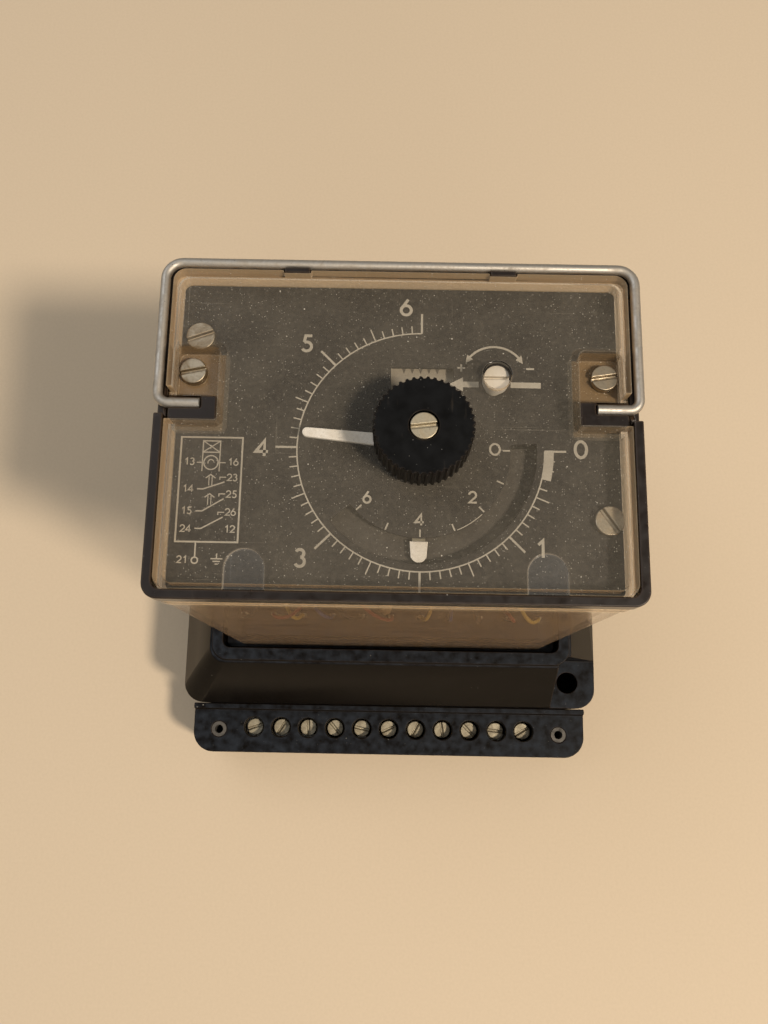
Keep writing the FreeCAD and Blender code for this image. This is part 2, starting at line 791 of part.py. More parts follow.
def make_terminal_row(side):
    """The springs, blocks, clamps and screws of one row."""
    springs, blocks, clamps, screws = [], [], [], []
    sign = -1 if side == "front" else 1
    tail_top = d.tail_low + d.tail_thickness
    near_leaf = d.blade_y - d.blade_thickness / 2 - d.leaf_gap
    far_leaf = d.blade_y + d.blade_thickness / 2 + d.leaf_gap
    block_z = (d.block_low, d.tail_low)
    tail_end = d.chamber_outer - d.tail_gap
    for i, x in enumerate(terminal_places()):
        name = f"{side}_terminal_{i}"
        width = (x - d.tail_half_x, x + d.tail_half_x)
        y = sign * d.terminal_y
        hole = rod(name + "_hole", x, y, (d.block_low, tail_top + d.overshoot), d.terminal_shank_radius)
        leaves = fuse(
            name + "_leaves",
            box(name + "_tail", width, facing(side, near_leaf - d.leaf, tail_end), (d.tail_low, tail_top)),
            box(
                name + "_outer_leaf",
                width,
                facing(side, far_leaf, far_leaf + d.leaf),
                (d.tail_low, d.leaf_top),
            ),
            box(
                name + "_inner_leaf",
                width,
                facing(side, near_leaf - d.leaf, near_leaf),
                (d.tail_low, d.leaf_top),
            ),
        )
        springs.append(cut(name + "_spring", leaves, hole))
        wide = (x - d.block_half_x, x + d.block_half_x)
        blank = box(
            name + "_block_blank", wide, facing(side, d.chamber_inner + d.chamber_gap, tail_end), block_z
        )
        block_hole = rod(name + "_block_hole", x, y, block_z, d.terminal_shank_radius)
        blocks.append(cut(name + "_block", blank, block_hole))
        clamp_blank = box(
            name + "_clamp_blank",
            (x - d.clamp_half, x + d.clamp_half),
            facing(side, d.terminal_y - d.clamp_half, d.terminal_y + d.clamp_half),
            (tail_top, tail_top + d.clamp_thickness),
        )
        clamp_hole = rod(
            name + "_clamp_hole",
            x,
            y,
            (tail_top, tail_top + d.clamp_thickness),
            d.terminal_shank_radius,
        )
        clamps.append(cut(name + "_clamp", clamp_blank, clamp_hole))
        screw = slotted_screw(
            name + "_screw",
            d.terminal_head_radius,
            d.terminal_head,
            d.terminal_shank_radius,
            tail_top + d.clamp_thickness - d.block_low,
        )
        turn = 37 * i + (20 if side == "front" else 75)
        screws.append(move(screw, x, y, tail_top + d.clamp_thickness, turn))
    return springs, blocks, clamps, screws


def make_socket_bottom():
    """Insulating plate that closes the underside, riveted through the strips' ends."""
    m = Moulding("SocketBottomPlate")
    z = (d.plate_rebate - d.bottom_plate_thickness, d.plate_rebate)
    m.pad(rectangle(d.bottom_plate_half_x, d.bottom_plate_half_y, 2, 2), z)
    for side in (1, -1):
        m.pocket(circle(d.ear_column_radius + d.plate_gap), z, side * d.ear_x, -side * d.ear_y)
    rivets = []
    for x in (-d.end_rivet_x, d.end_rivet_x):
        for y in (-d.end_rivet_y, d.end_rivet_y):
            m.pocket(circle(d.rivet_radius), z, x, y)
            name = f"rivet_{len(rivets)}"
            solid = fuse(
                name + "_solid",
                rod(name + "_barrel", x, y, (z[0] - d.rivet_head, d.strip_top), d.rivet_radius),
                rod(name + "_top", x, y, (d.strip_top - d.rivet_head, d.strip_top), d.rivet_head_radius),
                rod(name + "_foot", x, y, (z[0] - d.rivet_head, z[0]), d.rivet_head_radius),
            )
            bore = rod(name + "_bore", x, y, (z[0] - d.rivet_head, d.strip_top), d.rivet_bore)
            rivets.append(cut(name, solid, bore))
    subpart(m, "socket_bottom_plate")
    subpart(group("StripRivets", rivets), "strip_rivets")


# ---------------------------------------------------------------- relay base and blades


def make_relay_base():
    """Bakelite base of the relay unit, with blade slots and countersunk pillar screws."""
    m = Moulding("RelayBase")
    m.pad(rectangle(d.base_half_x, d.base_half_y, 2, 2), (d.recess_floor, d.base_top))
    m.pad(rectangle(d.plinth_half_x, d.plinth_half_y, 2, 2), (d.base_top, d.plinth_top))
    slot = rectangle(d.blade_half_x, d.blade_thickness / 2)
    tag = rectangle(d.tag_half_x, d.blade_thickness / 2)
    first_x = terminal_places()[0]
    for side in (1, -1):
        y = side * d.blade_y
        slots = [
            m.pocket(slot, (d.recess_floor, d.base_top), first_x, y),
            m.pocket(tag, (d.base_top, d.plinth_top), first_x, y),
        ]
        pattern = m.row(slots[0], TERMINAL_COUNT, d.terminal_pitch)
        pattern.Originals = slots
    screws = []
    seat = d.recess_floor + d.counterbore
    for x in (-d.pillar_x, d.pillar_x):
        for y in (-d.pillar_y, d.pillar_y):
            far_y = y * d.far_pillar_share
            m.pocket(circle(d.counterbore_radius), (d.recess_floor, seat), x, far_y)
            m.pocket(circle(d.stud_radius), (seat, d.plinth_top), x, far_y)
            name = f"base_screw_{len(screws)}"
            head = rod(name + "_head", x, far_y, (seat - d.base_screw_head, seat), d.base_screw_head_radius)
            shank = rod(name + "_shank", x, far_y, (seat, d.plinth_top + d.base_thread), d.stud_radius)
            screws.append(fuse(name, head, shank))
    subpart(m, "relay_base")
    subpart(group("BaseScrews", screws), "base_screws")


def make_blades(side):
    """A row of plug blades, each with a soldering tag above the base."""
    blades = []
    y = facing(side, d.blade_y - d.blade_thickness / 2, d.blade_y + d.blade_thickness / 2)
    for i, x in enumerate(terminal_places()):
        name = f"{side}_blade_{i}"
        wide = (x - d.blade_half_x, x + d.blade_half_x)
        narrow = (x - d.tag_half_x, x + d.tag_half_x)
        blade = box(name + "_plug", wide, y, (d.blade_tip, d.base_top))
        tag = box(name + "_tag", narrow, y, (d.base_top, d.tag_top))
        blades.append(fuse(name, blade, tag))
    subpart(group(f"{side}_blades", blades), f"plug_blades_{side}")


# ---------------------------------------------------------------- case of the relay unit


def make_clear_cover():
    """Deep transparent cover with a screw pocket in each side of its window."""
    m = Moulding("ClearCover")
    r = d.cover_radius
    m.pad(rectangle(d.cover_half_x, d.cover_half_y, r, r), (d.base_top, d.shoulder))
    bead = rectangle(d.cover_half_x + d.bead, d.cover_half_y + d.bead, r, r)
    m.pad(bead, (d.bead_low, d.bead_top))
    m.pad(rectangle(d.crown_half_x, d.crown_half_y, r, r), (d.shoulder - d.overlap, d.crown_top))
    inner = rectangle(d.cover_half_x - d.cover_wall, d.cover_half_y - d.cover_wall, 2, 2)
    m.pocket(inner, (d.base_top, d.shoulder - d.cover_wall))
    crown = rectangle(d.crown_half_x - d.cover_wall, d.crown_half_y - d.cover_wall, 2, 2)
    m.pocket(crown, (d.shoulder - d.cover_wall, d.crown_top - d.crown_thickness))
    outer_x = d.crown_half_x - d.cover_wall
    well_x = (d.pocket_inner + outer_x) / 2
    well_y = (d.pocket_front + d.pocket_rear) / 2
    half_x = (outer_x - d.pocket_inner) / 2
    half_y = (d.pocket_rear - d.pocket_front) / 2
    block = rectangle(half_x + d.pocket_wall, half_y + d.pocket_wall, 2, 2)
    well = rectangle(half_x, half_y, None, d.pocket_radius)
    notch_y = (d.pocket_front + d.pocket_notch_rear) / 2
    notch = rectangle(d.cover_wall / 2 + d.overshoot, (d.pocket_notch_rear - d.pocket_front) / 2)
    low = d.pocket_floor - d.pocket_floor_thickness
    for side in (1, -1):
        m.pad(block, (low, d.crown_top - d.overlap), side * well_x, well_y)
        m.pocket(well, (d.pocket_floor, d.crown_top), side * well_x, well_y)
        notch_x = side * (d.crown_half_x - d.cover_wall / 2)
        m.pocket(notch, (d.shoulder, d.crown_top), notch_x, notch_y)
        screw = (side * d.cover_screw_x, d.cover_screw_y)
        spot = (d.pocket_floor - d.spot_face, d.pocket_floor)
        m.pocket(circle(d.spot_face_radius), spot, *screw)
        m.pocket(circle(d.screw_hole_radius), (low, d.pocket_floor), *screw)
        arch = (d.crown_top - d.arch_depth, d.crown_top)
        straight = (d.crown_half_y + d.arch_rear - d.arch_half_x) / 2
        arch_y = d.arch_rear - d.arch_half_x - straight
        m.pocket(rectangle(d.arch_half_x, straight), arch, side * d.arch_x, arch_y)
        m.pocket(circle(d.arch_half_x), arch, side * d.arch_x, d.arch_rear - d.arch_half_x)
        clip = rectangle(d.clip_half_x + d.plate_gap, (d.crown_half_y - d.clip_y + d.overshoot) / 2)
        clip_y = (d.crown_half_y + d.clip_y + d.overshoot) / 2
        m.pocket(clip, (d.ledge_top, d.crown_top), side * d.clip_x, clip_y)
    opening = (d.crown_top - d.crown_thickness, d.crown_top)
    m.pocket(circle(d.shaft_opening_radius), opening, d.dial_x, d.dial_y)
    m.pocket(circle(d.selector_opening), opening, d.selector_x, d.selector_y)
    subpart(m, "clear_cover")


def make_rim_frame():
    """Black frame: full height round the front, a low ledge under the bail at the rear."""
    outer_blank = Moulding("RimBlank")
    full = rectangle(d.rim_half_x, d.rim_half_y, d.rim_radius, d.rim_radius)
    outer_blank.pad(full, (d.shoulder, d.rim_top))
    opening = rectangle(d.rim_inner_x, d.rim_inner_y, 2, 2)
    outer_blank.pocket(opening, (d.shoulder, d.rim_top))
    rear_half = (d.rim_half_y - d.rim_step_y) / 2 + d.overshoot
    rear_y = d.rim_step_y + rear_half
    rear = rectangle(d.rim_half_x + d.overshoot, rear_half)
    outer_blank.pocket(rear, (d.ledge_top, d.rim_top), 0, rear_y)
    well_outer = d.crown_half_x - d.cover_wall - d.fit_gap
    lug_y = (d.lug_front, d.lug_rear)
    bail_low = d.bail_z - d.bail_wire_radius
    pieces = [outer_blank.body]
    grooves = []
    for side, mirrored in (("right", False), ("left", True)):

        def span(low, high):
            return (-high, -low) if mirrored else (low, high)

        pieces.append(
            box(f"{side}_lug", span(d.lug_inner, well_outer), lug_y, (d.pocket_floor, d.lug_top))
        )
        through = span(well_outer - d.plate_gap, d.bail_arm_x - d.bail_elbow - d.fit_gap)
        pieces.append(box(f"{side}_lug_neck", through, lug_y, (d.shoulder, d.lug_top)))
        foot = span(well_outer - d.plate_gap, d.rim_inner_x + d.lug_root)
        pieces.append(box(f"{side}_lug_foot", foot, lug_y, (d.shoulder, bail_low - d.fit_gap)))
        groove = span(d.bail_tip_x - d.chamber_gap, d.rim_inner_x + d.lug_root)
        grooves.append(
            rod(
                f"{side}_groove",
                groove,
                d.bail_y,
                d.bail_z,
                d.bail_wire_radius + d.bail_clearance,
            )
        )
        clip_x = span(d.clip_x - d.clip_half_x, d.clip_x + d.clip_half_x)
        clip_top = d.crown_top - d.clip_drop
        root_y = (d.rim_inner_y + d.clip_root_near, d.rim_inner_y + d.clip_root_far)
        pieces.append(box(f"{side}_clip_root", clip_x, root_y, (d.ledge_top - d.overlap, clip_top)))
        hook_y = (d.clip_y + d.fit_gap, d.rim_inner_y + d.clip_hook)
        pieces.append(box(f"{side}_clip_hook", clip_x, hook_y, (d.ledge_top + d.fit_gap, clip_top)))
    subpart(cut("RimFrame", fuse("RimSolid", *pieces), *grooves), "rim_frame")


def make_wire_bail():
    """Round steel wire bent into a U, with both ends turned in to pivot in the frame's lugs."""
    z = d.bail_z.value
    tip, arm = d.bail_tip_x.value, d.bail_arm_x.value
    front, rear = d.bail_y.value, d.bail_rear.value
    elbow, corner = d.bail_elbow.value, d.bail_corner.value
    diagonal = 1 - 0.5**0.5

    def at(x, y):
        return FreeCAD.Vector(x, y, z)

    def bend(start, corner_point, end, radius):
        """The arc that rounds a right-angled corner between start and end."""
        toward = (start - corner_point).normalize() + (end - corner_point).normalize()
        return Part.Arc(start, corner_point + toward * (radius * diagonal), end).toShape()

    right = [
        Part.makeLine(at(tip, front), at(arm - elbow, front)),
        bend(at(arm - elbow, front), at(arm, front), at(arm, front + elbow), elbow),
        Part.makeLine(at(arm, front + elbow), at(arm, rear - corner)),
        bend(at(arm, rear - corner), at(arm, rear), at(arm - corner, rear), corner),
    ]
    across = Part.makeLine(at(arm - corner, rear), at(corner - arm, rear))
    mirror = [edge.mirror(FreeCAD.Vector(), FreeCAD.Vector(1, 0, 0)) for edge in right]
    path = Part.Wire(Part.__sortEdges__(right + [across] + mirror))
    section = Part.Wire(
        Part.Circle(at(tip, front), FreeCAD.Vector(1, 0, 0), d.bail_wire_radius.value).toShape()
    )
    bail = doc.addObject("Part::Feature", "WireBail")
    bail.Shape = path.makePipeShell([section], True, True)
    bail.Placement = FreeCAD.Placement()
    subpart(bail, "wire_bail")


def make_scale_plate():
    """Printed dial plate with openings for the shaft, indicator, range window and selector."""
    m = Moulding("ScalePlate")
    z = (d.scale_low, d.scale_low + d.scale_thickness)
    middle = (d.scale_front + d.scale_rear) / 2
    half = (d.scale_rear - d.scale_front) / 2
    m.pad(rectangle(d.scale_half_x, half, d.scale_radius, d.scale_radius), z, 0, middle)
    m.pocket(circle(d.shaft_opening_radius), z, d.dial_x, d.dial_y)
    m.pocket(rectangle(d.window_width / 2, d.window_depth / 2), z, d.window_x, d.window_y)
    m.pocket(circle(d.screw_hole_radius), z, d.selector_x, d.selector_y)
    for x, y in (
        (d.plate_screw_right_x, d.plate_screw_right_y),
        (d.plate_screw_left_x, d.plate_screw_left_y),
        (d.cover_screw_x, d.cover_screw_y),
        (-d.cover_screw_x, d.cover_screw_y),
    ):
        m.pocket(circle(d.screw_hole_radius), z, x, y)
    arc = ring("arc_window_ring", d.dial_x, d.dial_y, z, d.arc_outer, d.arc_inner)
    window = dial_sector(arc, d.scale_low, d.scale_thickness, d.arc_sweep_angle)
    subpart(cut("ScalePlateWindowed", m.body, window), "scale_plate")


def dial_sector(whole, low, thickness, sweep):
    """The part of a ring about the dial's centre that lies under the elapsed-time scale."""
    sector = doc.addObject("Part::Cylinder", whole.Name + "_sector")
    bind(sector, "Angle", sweep)
    bind(sector, "Radius", d.arc_outer * 2)
    bind(sector, "Height", thickness)
    move(sector, d.dial_x, d.dial_y, low, d.arc_outset_angle - sweep)
    kept = doc.addObject("Part::Common", whole.Name + "_kept")
    kept.Base = whole
    kept.Tool = sector
    return kept


def make_indicator_backing():
    """Light arc behind the elapsed-time flag, on three posts from the upper plate."""
    low, high = d.backing_low, d.backing_low + d.backing_thickness
    arc = ring("backing_ring", d.dial_x, d.dial_y, (low, high), d.backing_outer, d.backing_inner)
    pieces = [dial_sector(arc, low, d.backing_thickness, d.backing_sweep_angle)]
    post_z = (d.upper_plate_low + d.movement_thickness, low + d.backing_thickness / 2)
    reach = d.backing_outer - d.backing_post_radius - d.chamber_gap
    for i, part in enumerate((0.12, 0.5, 0.88)):
        angle = d.arc_outset_angle - d.backing_sweep_angle * part
        x = d.dial_x + reach * cosine(angle)
        y = d.dial_y + reach * sine(angle)
        pieces.append(rod(f"backing_post_{i}", x, y, post_z, d.backing_post_radius))
    subpart(fuse("IndicatorBacking", *pieces), "indicator_backing")


def make_case_screws():
    """The slotted screws that hold the scale plate and the clear cover."""
    plate_seat = d.scale_low + d.scale_thickness
    plate_shank = plate_seat - d.upper_plate_low - d.movement_thickness - 1
    plates = []
    for i, (x, y, turn) in enumerate(
        (
            (d.plate_screw_right_x, d.plate_screw_right_y, -55),
            (d.plate_screw_left_x, d.plate_screw_left_y, 20),
        )
    ):
        screw = slotted_screw(
            f"plate_screw_{i}",
            d.plate_screw_head_radius,
            d.plate_screw_head,
            d.screw_radius,
            plate_shank,
        )
        plates.append(move(screw, x, y, plate_seat, turn))
    subpart(group("PlateScrews", plates), "plate_screws")
    cover_seat = d.pocket_floor
    cover_shank = cover_seat - d.upper_plate_low - d.movement_thickness - 1
    covers = []
    for i, (x, turn) in enumerate(((-d.cover_screw_x, 12), (d.cover_screw_x, 9))):
        screw = slotted_screw(
            f"cover_screw_{i}",
            d.cover_screw_head_radius,
            d.cover_screw_head,
            d.screw_radius,
            cover_shank,
        )
        covers.append(move(screw, x, d.cover_screw_y, cover_seat, turn))
    subpart(group("CoverScrews", covers), "cover_screws")


# ---------------------------------------------------------------- movement


def main_pitch_radius():
    return d.module_size * d.main_teeth / 2


def pinion_pitch_radius():
    return d.module_size * d.pinion_teeth / 2


def reduction_pitch_radius():
    return d.module_size * d.reduction_teeth / 2


def reduction_axis():
    """X and Y of the reduction arbor."""
    reach = main_pitch_radius() + pinion_pitch_radius()
    angle = d.reduction_angle
    return d.dial_x + reach * cosine(angle), d.dial_y + reach * sine(angle)


def rotor_axis():
    """X and Y of the motor's shaft."""
    reach = reduction_pitch_radius() + pinion_pitch_radius()
    x, y = reduction_axis()
    return x + reach * cosine(d.rotor_angle), y + reach * sine(d.rotor_angle)


def range_axis():
    """X and Y of the range wheel, one centre distance from the selector."""
    reach = d.module_size * (d.range_teeth + d.pinion_teeth) / 2
    across = d.selector_x - d.range_axis_x
    rise = (reach.value**2 - across.value**2) ** 0.5
    text = f"sqrt({reach.text}^2 - {across.text}^2)"
    return d.range_axis_x, d.selector_y + Size(rise, text)


def make_plates_and_pillars():
    """The two movement plates, their pillars and the standoffs under the scale plate."""
    lower = (d.lower_plate_low, d.lower_plate_low + d.movement_thickness)
    upper = (d.upper_plate_low, d.upper_plate_low + d.movement_thickness)
    outline = rectangle(d.movement_half_x, d.movement_half_y, 4, 4)
    bush_radius = d.tube_radius + d.bush_wall
    small_bush = d.arbor_radius + d.bush_wall
    dial = (d.dial_x, d.dial_y)
    for name, z, holes in (
        (
            "lower_movement_plate",
            lower,
            (
                (dial, d.shaft_radius + d.bush_wall),
                (reduction_axis(), small_bush),
                (rotor_axis(), d.arbor_radius + d.running_clearance),
                ((d.trip_x, d.trip_y), d.shaft_radius + d.running_clearance),
            ),
        ),
        (
            "upper_movement_plate",
            upper,
            (
                (dial, bush_radius),
                (reduction_axis(), small_bush),
                ((d.selector_x, d.selector_y), d.shaft_radius + d.running_clearance),
                (range_axis(), d.arbor_radius),
                ((d.trip_x, d.trip_y), d.shaft_radius + d.running_clearance),
            ),
        ),
    ):
        m = Moulding(name.title().replace("_", ""))
        m.pad(outline, z)
        for (x, y), radius in holes:
            m.pocket(circle(radius), z, x, y)
        subpart(m, name)

    bushes = [
        ring("bush_dial_upper", *dial, upper, bush_radius, d.tube_radius + d.running_clearance),
        ring(
            "bush_dial_lower",
            *dial,
            lower,
            d.shaft_radius + d.bush_wall,
            d.shaft_radius + d.running_clearance,
        ),
    ]
    for name, z in (("lower", lower), ("upper", upper)):
        bore = d.arbor_radius + d.running_clearance
        bushes.append(ring(f"bush_reduction_{name}", *reduction_axis(), z, small_bush, bore))
    subpart(group("ArborBushes", bushes), "arbor_bushes")

    posts, spacers = [], []
    for x in (-d.pillar_x, d.pillar_x):
        for y in (-d.pillar_y, d.pillar_y):
            far_y = y * d.far_pillar_share
            name = f"post_{len(posts)}"
            blank = rod(name + "_blank", x, far_y, (d.plinth_top, d.lower_plate_low), d.pillar_radius)
            hole = rod(name + "_hole", x, far_y, (d.plinth_top, d.plinth_top + d.base_thread), d.stud_radius)
            posts.append(cut(name, blank, hole))
            spacers.append(rod(f"spacer_{len(spacers)}", x, y, (lower[1], upper[0]), d.pillar_radius))
    subpart(group("ChassisPosts", posts), "chassis_posts")
    subpart(group("MovementPillars", spacers), "movement_pillars")

    standoffs = []
    for x, y in (
        (d.plate_screw_right_x, d.plate_screw_right_y),
        (d.plate_screw_left_x, d.plate_screw_left_y),
        (d.cover_screw_x, d.cover_screw_y),
        (-d.cover_screw_x, d.cover_screw_y),
    ):
        name = f"standoff_{len(standoffs)}"
        blank = rod(name + "_blank", x, y, (upper[1], d.scale_low), d.standoff_radius)
        hole = rod(name + "_hole", x, y, (upper[1] + 1, d.scale_low), d.screw_radius)
        standoffs.append(cut(name, blank, hole))
    subpart(group("DialStandoffs", standoffs), "dial_standoffs")


def add_gear(m, teeth, z):
    """Adds a toothed disc about the body's Z axis, with one tooth on the X axis."""
    pitch = d.module_size * teeth / 2
    root = pitch - d.dedendum
    m.pad(circle(root), z)
    tooth = wedge(root - 0.3, pitch + d.addendum, d.tooth_root_half, d.tooth_tip_half)
    m.circuit(m.pad(tooth, z), teeth)


def make_time_train():
    """Main wheel on its tube, reduction arbor and motor rotor, meshed in one train."""
    main_z = (d.main_wheel_low, d.main_wheel_low + d.gear_thickness)
    wheel = Moulding("MainWheel")
    add_gear(wheel, d.main_teeth, main_z)
    wheel.pocket(circle(d.tube_radius), main_z)
    move(wheel.body, d.dial_x, d.dial_y, 0, d.reduction_angle)
    subpart(wheel, "main_wheel")

    tube_z = (d.trip_upper_arm - 3, d.indicator_low + d.indicator_thickness)
    subpart(
        ring(
            "MainTube",
            d.dial_x,
            d.dial_y,
            tube_z,
            d.tube_radius,
            d.shaft_radius + d.running_clearance,
        ),
        "main_tube",
    )

    cam_z = (d.trip_upper_arm, d.trip_upper_arm + d.trip_arm_thickness)
    cam = Moulding("TripCam")
    cam.pad(circle(d.cam_radius), cam_z)
    cam.pad(wedge(d.cam_radius - 1, d.cam_lobe, 2, 1), cam_z)
    cam.pocket(circle(d.tube_radius), cam_z)
    move(cam.body, d.dial_x, d.dial_y, 0, d.cam_angle)
    subpart(cam, "trip_cam")

    indicator_z = (d.indicator_low, d.indicator_low + d.indicator_thickness)
    arm = Moulding("IndicatorArm")
    arm.pad(circle(d.tube_radius + 2), indicator_z)
    arm.pad(wedge(2, d.flag_inner + 0.5, 2, d.flag_half_outer), indicator_z)
    arm.pocket(circle(d.tube_radius), indicator_z)
    move(arm.body, d.dial_x, d.dial_y, 0, d.indicator_angle)
    subpart(arm, "indicator_arm")
    flag = Moulding("IndicatorFlag")
    flag_z = (indicator_z[1], indicator_z[1] + 0.5)
    flag.pad(wedge(d.flag_inner, d.flag_outer - 1, d.flag_half_inner, d.flag_half_outer + 0.3), flag_z)
    flag.pad(circle(d.flag_half_outer + 0.3), flag_z, d.flag_outer - d.flag_half_outer - 0.3)
    move(flag.body, d.dial_x, d.dial_y, 0, d.indicator_angle)
    subpart(flag, "indicator_flag")

    wheel_z = (d.reduction_wheel_low, d.reduction_wheel_low + d.gear_thickness)
    pinion_low = d.main_wheel_low - 1
    pinion_z = (pinion_low, pinion_low + d.pinion_thickness)
    half_pitch = 180 / d.pinion_teeth
    x, y = reduction_axis()
    reduction = Moulding("ReductionWheel")
    add_gear(reduction, d.reduction_teeth, wheel_z)
    reduction.pocket(circle(d.arbor_radius), wheel_z)
    move(reduction.body, x, y, 0, d.rotor_angle)
    subpart(reduction, "reduction_wheel")
    arbor = Moulding("ReductionArbor")
    arbor.pad(circle(d.arbor_radius), (d.lower_plate_low + d.fit_gap, d.upper_plate_low + 2))
    add_gear(arbor, d.pinion_teeth, pinion_z)
    move(arbor.body, x, y, 0, d.reduction_angle - 180 + half_pitch)
    subpart(arbor, "reduction_arbor")

    x, y = rotor_axis()
    drive_low = d.reduction_wheel_low - 1
    shaft = Moulding("RotorShaft")
    shaft.pad(circle(d.arbor_radius), (d.motor_low + d.plate_gap, drive_low + d.pinion_thickness + 1))
    add_gear(shaft, d.pinion_teeth, (drive_low, drive_low + d.pinion_thickness))
    move(shaft.body, x, y, 0, d.rotor_angle + 180 + half_pitch)
    subpart(shaft, "rotor_shaft")
    rotor_z = (d.motor_coil_low + 2, d.motor_coil_top - 2)
    subpart(ring("MotorRotor", x, y, rotor_z, d.rotor_radius, d.arbor_radius), "motor_rotor")


def make_motor():
    """Synchronous motor under the lower plate: steel can and ring coil."""
    x, y = rotor_axis()
    m = Moulding("MotorCan")
    m.pad(circle(d.motor_radius), (d.motor_low, d.lower_plate_low), x, y)
    inside = (d.motor_low + d.motor_wall, d.lower_plate_low)
    m.pocket(circle(d.motor_radius - d.motor_wall), inside, x, y)
    bearing = (d.motor_low, d.motor_low + d.motor_wall)
    m.pocket(circle(d.arbor_radius + d.running_clearance), bearing, x, y)
    subpart(m, "motor_can")
    coil_z = (d.motor_coil_low, d.motor_coil_top)
    subpart(ring("MotorCoil", x, y, coil_z, d.motor_coil_outer, d.motor_coil_inner), "motor_coil")


def make_range_selector():
    """Slotted selector spindle with its pinion, the marked range wheel and its stud."""
    x, y = d.selector_x, d.selector_y
    wheel_z = (d.range_wheel_low, d.range_wheel_low + d.gear_thickness)
    wheel_x, wheel_y = range_axis()
    across, rise = x.value - wheel_x.value, y.value - wheel_y.value
    text = f"(atan2({y.text} - {wheel_y.text}; {x.text} - {wheel_x.text}) / 1 deg)"
    angle = FreeCAD.Vector(1, 0, 0).getAngle(FreeCAD.Vector(across, rise, 0))
    degrees = FreeCAD.Units.Quantity(f"{-angle} rad").getValueAs("deg").Value
    toward = Size(degrees, text)

    spindle = Moulding("SelectorSpindle")
    seat = d.selector_head_top - d.selector_head
    spindle.pad(circle(d.shaft_radius), (d.upper_plate_low - 1, seat + 0.5))
    spindle.pad(circle(d.selector_head_radius), (seat, d.selector_head_top))
    slot = rectangle(d.selector_head_radius + 1, d.selector_slot / 2)
    slot_z = (d.selector_head_top - d.selector_slot_depth, d.selector_head_top)
    spindle.pocket(slot, slot_z)
    move(spindle.body, x, y, 0)
    subpart(spindle, "selector_spindle")
    pinion = Moulding("SelectorPinion")
    pinion_z = (d.range_wheel_low - 0.5, wheel_z[1] + 0.5)
    add_gear(pinion, d.pinion_teeth, pinion_z)
    pinion.pocket(circle(d.shaft_radius), pinion_z)
    move(pinion.body, x, y, 0, toward + 180 + 180 / d.pinion_teeth)
    subpart(pinion, "selector_pinion")

    wheel = Moulding("RangeWheel")
    add_gear(wheel, d.range_teeth, wheel_z)
    wheel.pad(circle(d.range_disc_radius), (wheel_z[1], wheel_z[1] + d.range_disc))
    wheel.pocket(circle(d.arbor_radius + d.running_clearance), wheel_z)
    move(wheel.body, wheel_x, wheel_y, 0, toward)
    subpart(wheel, "range_wheel")
    stud_z = (d.upper_plate_low, wheel_z[1] - d.fit_gap)
    stud = rod("range_stud_post", wheel_x, wheel_y, stud_z, d.arbor_radius)
    collar_z = (d.upper_plate_low + d.movement_thickness, wheel_z[0] - d.fit_gap)
    collar = rod("range_stud_collar", wheel_x, wheel_y, collar_z, d.arbor_radius + 1.5)
    subpart(fuse("RangeStud", stud, collar), "range_stud")


def make_setting_knob():
    """Fluted knob with its screw, shaft, pointer and the stop arm inside."""
    knob = Moulding("Knob")
    whole = (d.knob_low, d.knob_top)
    knob.pad(circle(d.knob_radius), whole)
    flute = knob.pocket(circle(d.groove_radius), whole, d.knob_radius)
    knob.circuit(flute, d.knob_grooves)
    knob.pocket(circle(d.knob_recess_radius), (d.knob_top - d.knob_recess, d.knob_top))
    knob.pocket(circle(d.shaft_radius), (d.knob_low, d.shaft_top))
    knob.pocket(circle(d.stud_radius), (d.shaft_top, d.knob_top - d.knob_recess))
    move(knob.body, d.dial_x, d.dial_y, 0)
    subpart(knob, "knob")

    seat = d.knob_top - d.knob_recess
    screw = slotted_screw("KnobScrew", d.knob_screw_radius, d.knob_screw_head, d.stud_radius, seat - d.shaft_top + d.knob_thread)
    subpart(move(screw, d.dial_x, d.dial_y, seat, 7), "knob_screw")

    shaft_z = (d.lower_plate_low - 1, d.shaft_top)
    shaft = rod("shaft_blank", d.dial_x, d.dial_y, shaft_z, d.shaft_radius)
    thread = rod("shaft_thread", d.dial_x, d.dial_y, (d.shaft_top - d.knob_thread, d.shaft_top), d.stud_radius)
    subpart(cut("SettingShaft", shaft, thread), "setting_shaft")

    blade = (d.pointer_low, d.pointer_low + d.pointer_thickness)
    hub = (d.pointer_low - 1, d.pointer_low - 1 + d.pointer_hub)
    pointer = Moulding("SetPointer")
    pointer.pad(circle(d.pointer_hub_radius), hub)
    straight = d.pointer_length - d.pointer_half_tip
    pointer.pad(wedge(2, straight, d.pointer_half_root, d.pointer_half_tip), blade)
    pointer.pad(circle(d.pointer_half_tip), blade, straight)
    pointer.pocket(circle(d.shaft_radius), hub)
    move(pointer.body, d.dial_x, d.dial_y, 0, d.pointer_angle)
    subpart(pointer, "set_pointer")

    stop_z = (d.stop_arm_low, d.stop_arm_low + d.stop_arm_thickness)
    stop = Moulding("StopArm")
    stop.pad(circle(d.shaft_radius + 2), stop_z)
    stop.pad(wedge(2, d.stop_arm_length, 2, 1.5), stop_z)
    stop.pocket(circle(d.shaft_radius), stop_z)
    move(stop.body, d.dial_x, d.dial_y, 0, d.pointer_angle)
    subpart(stop, "stop_arm")


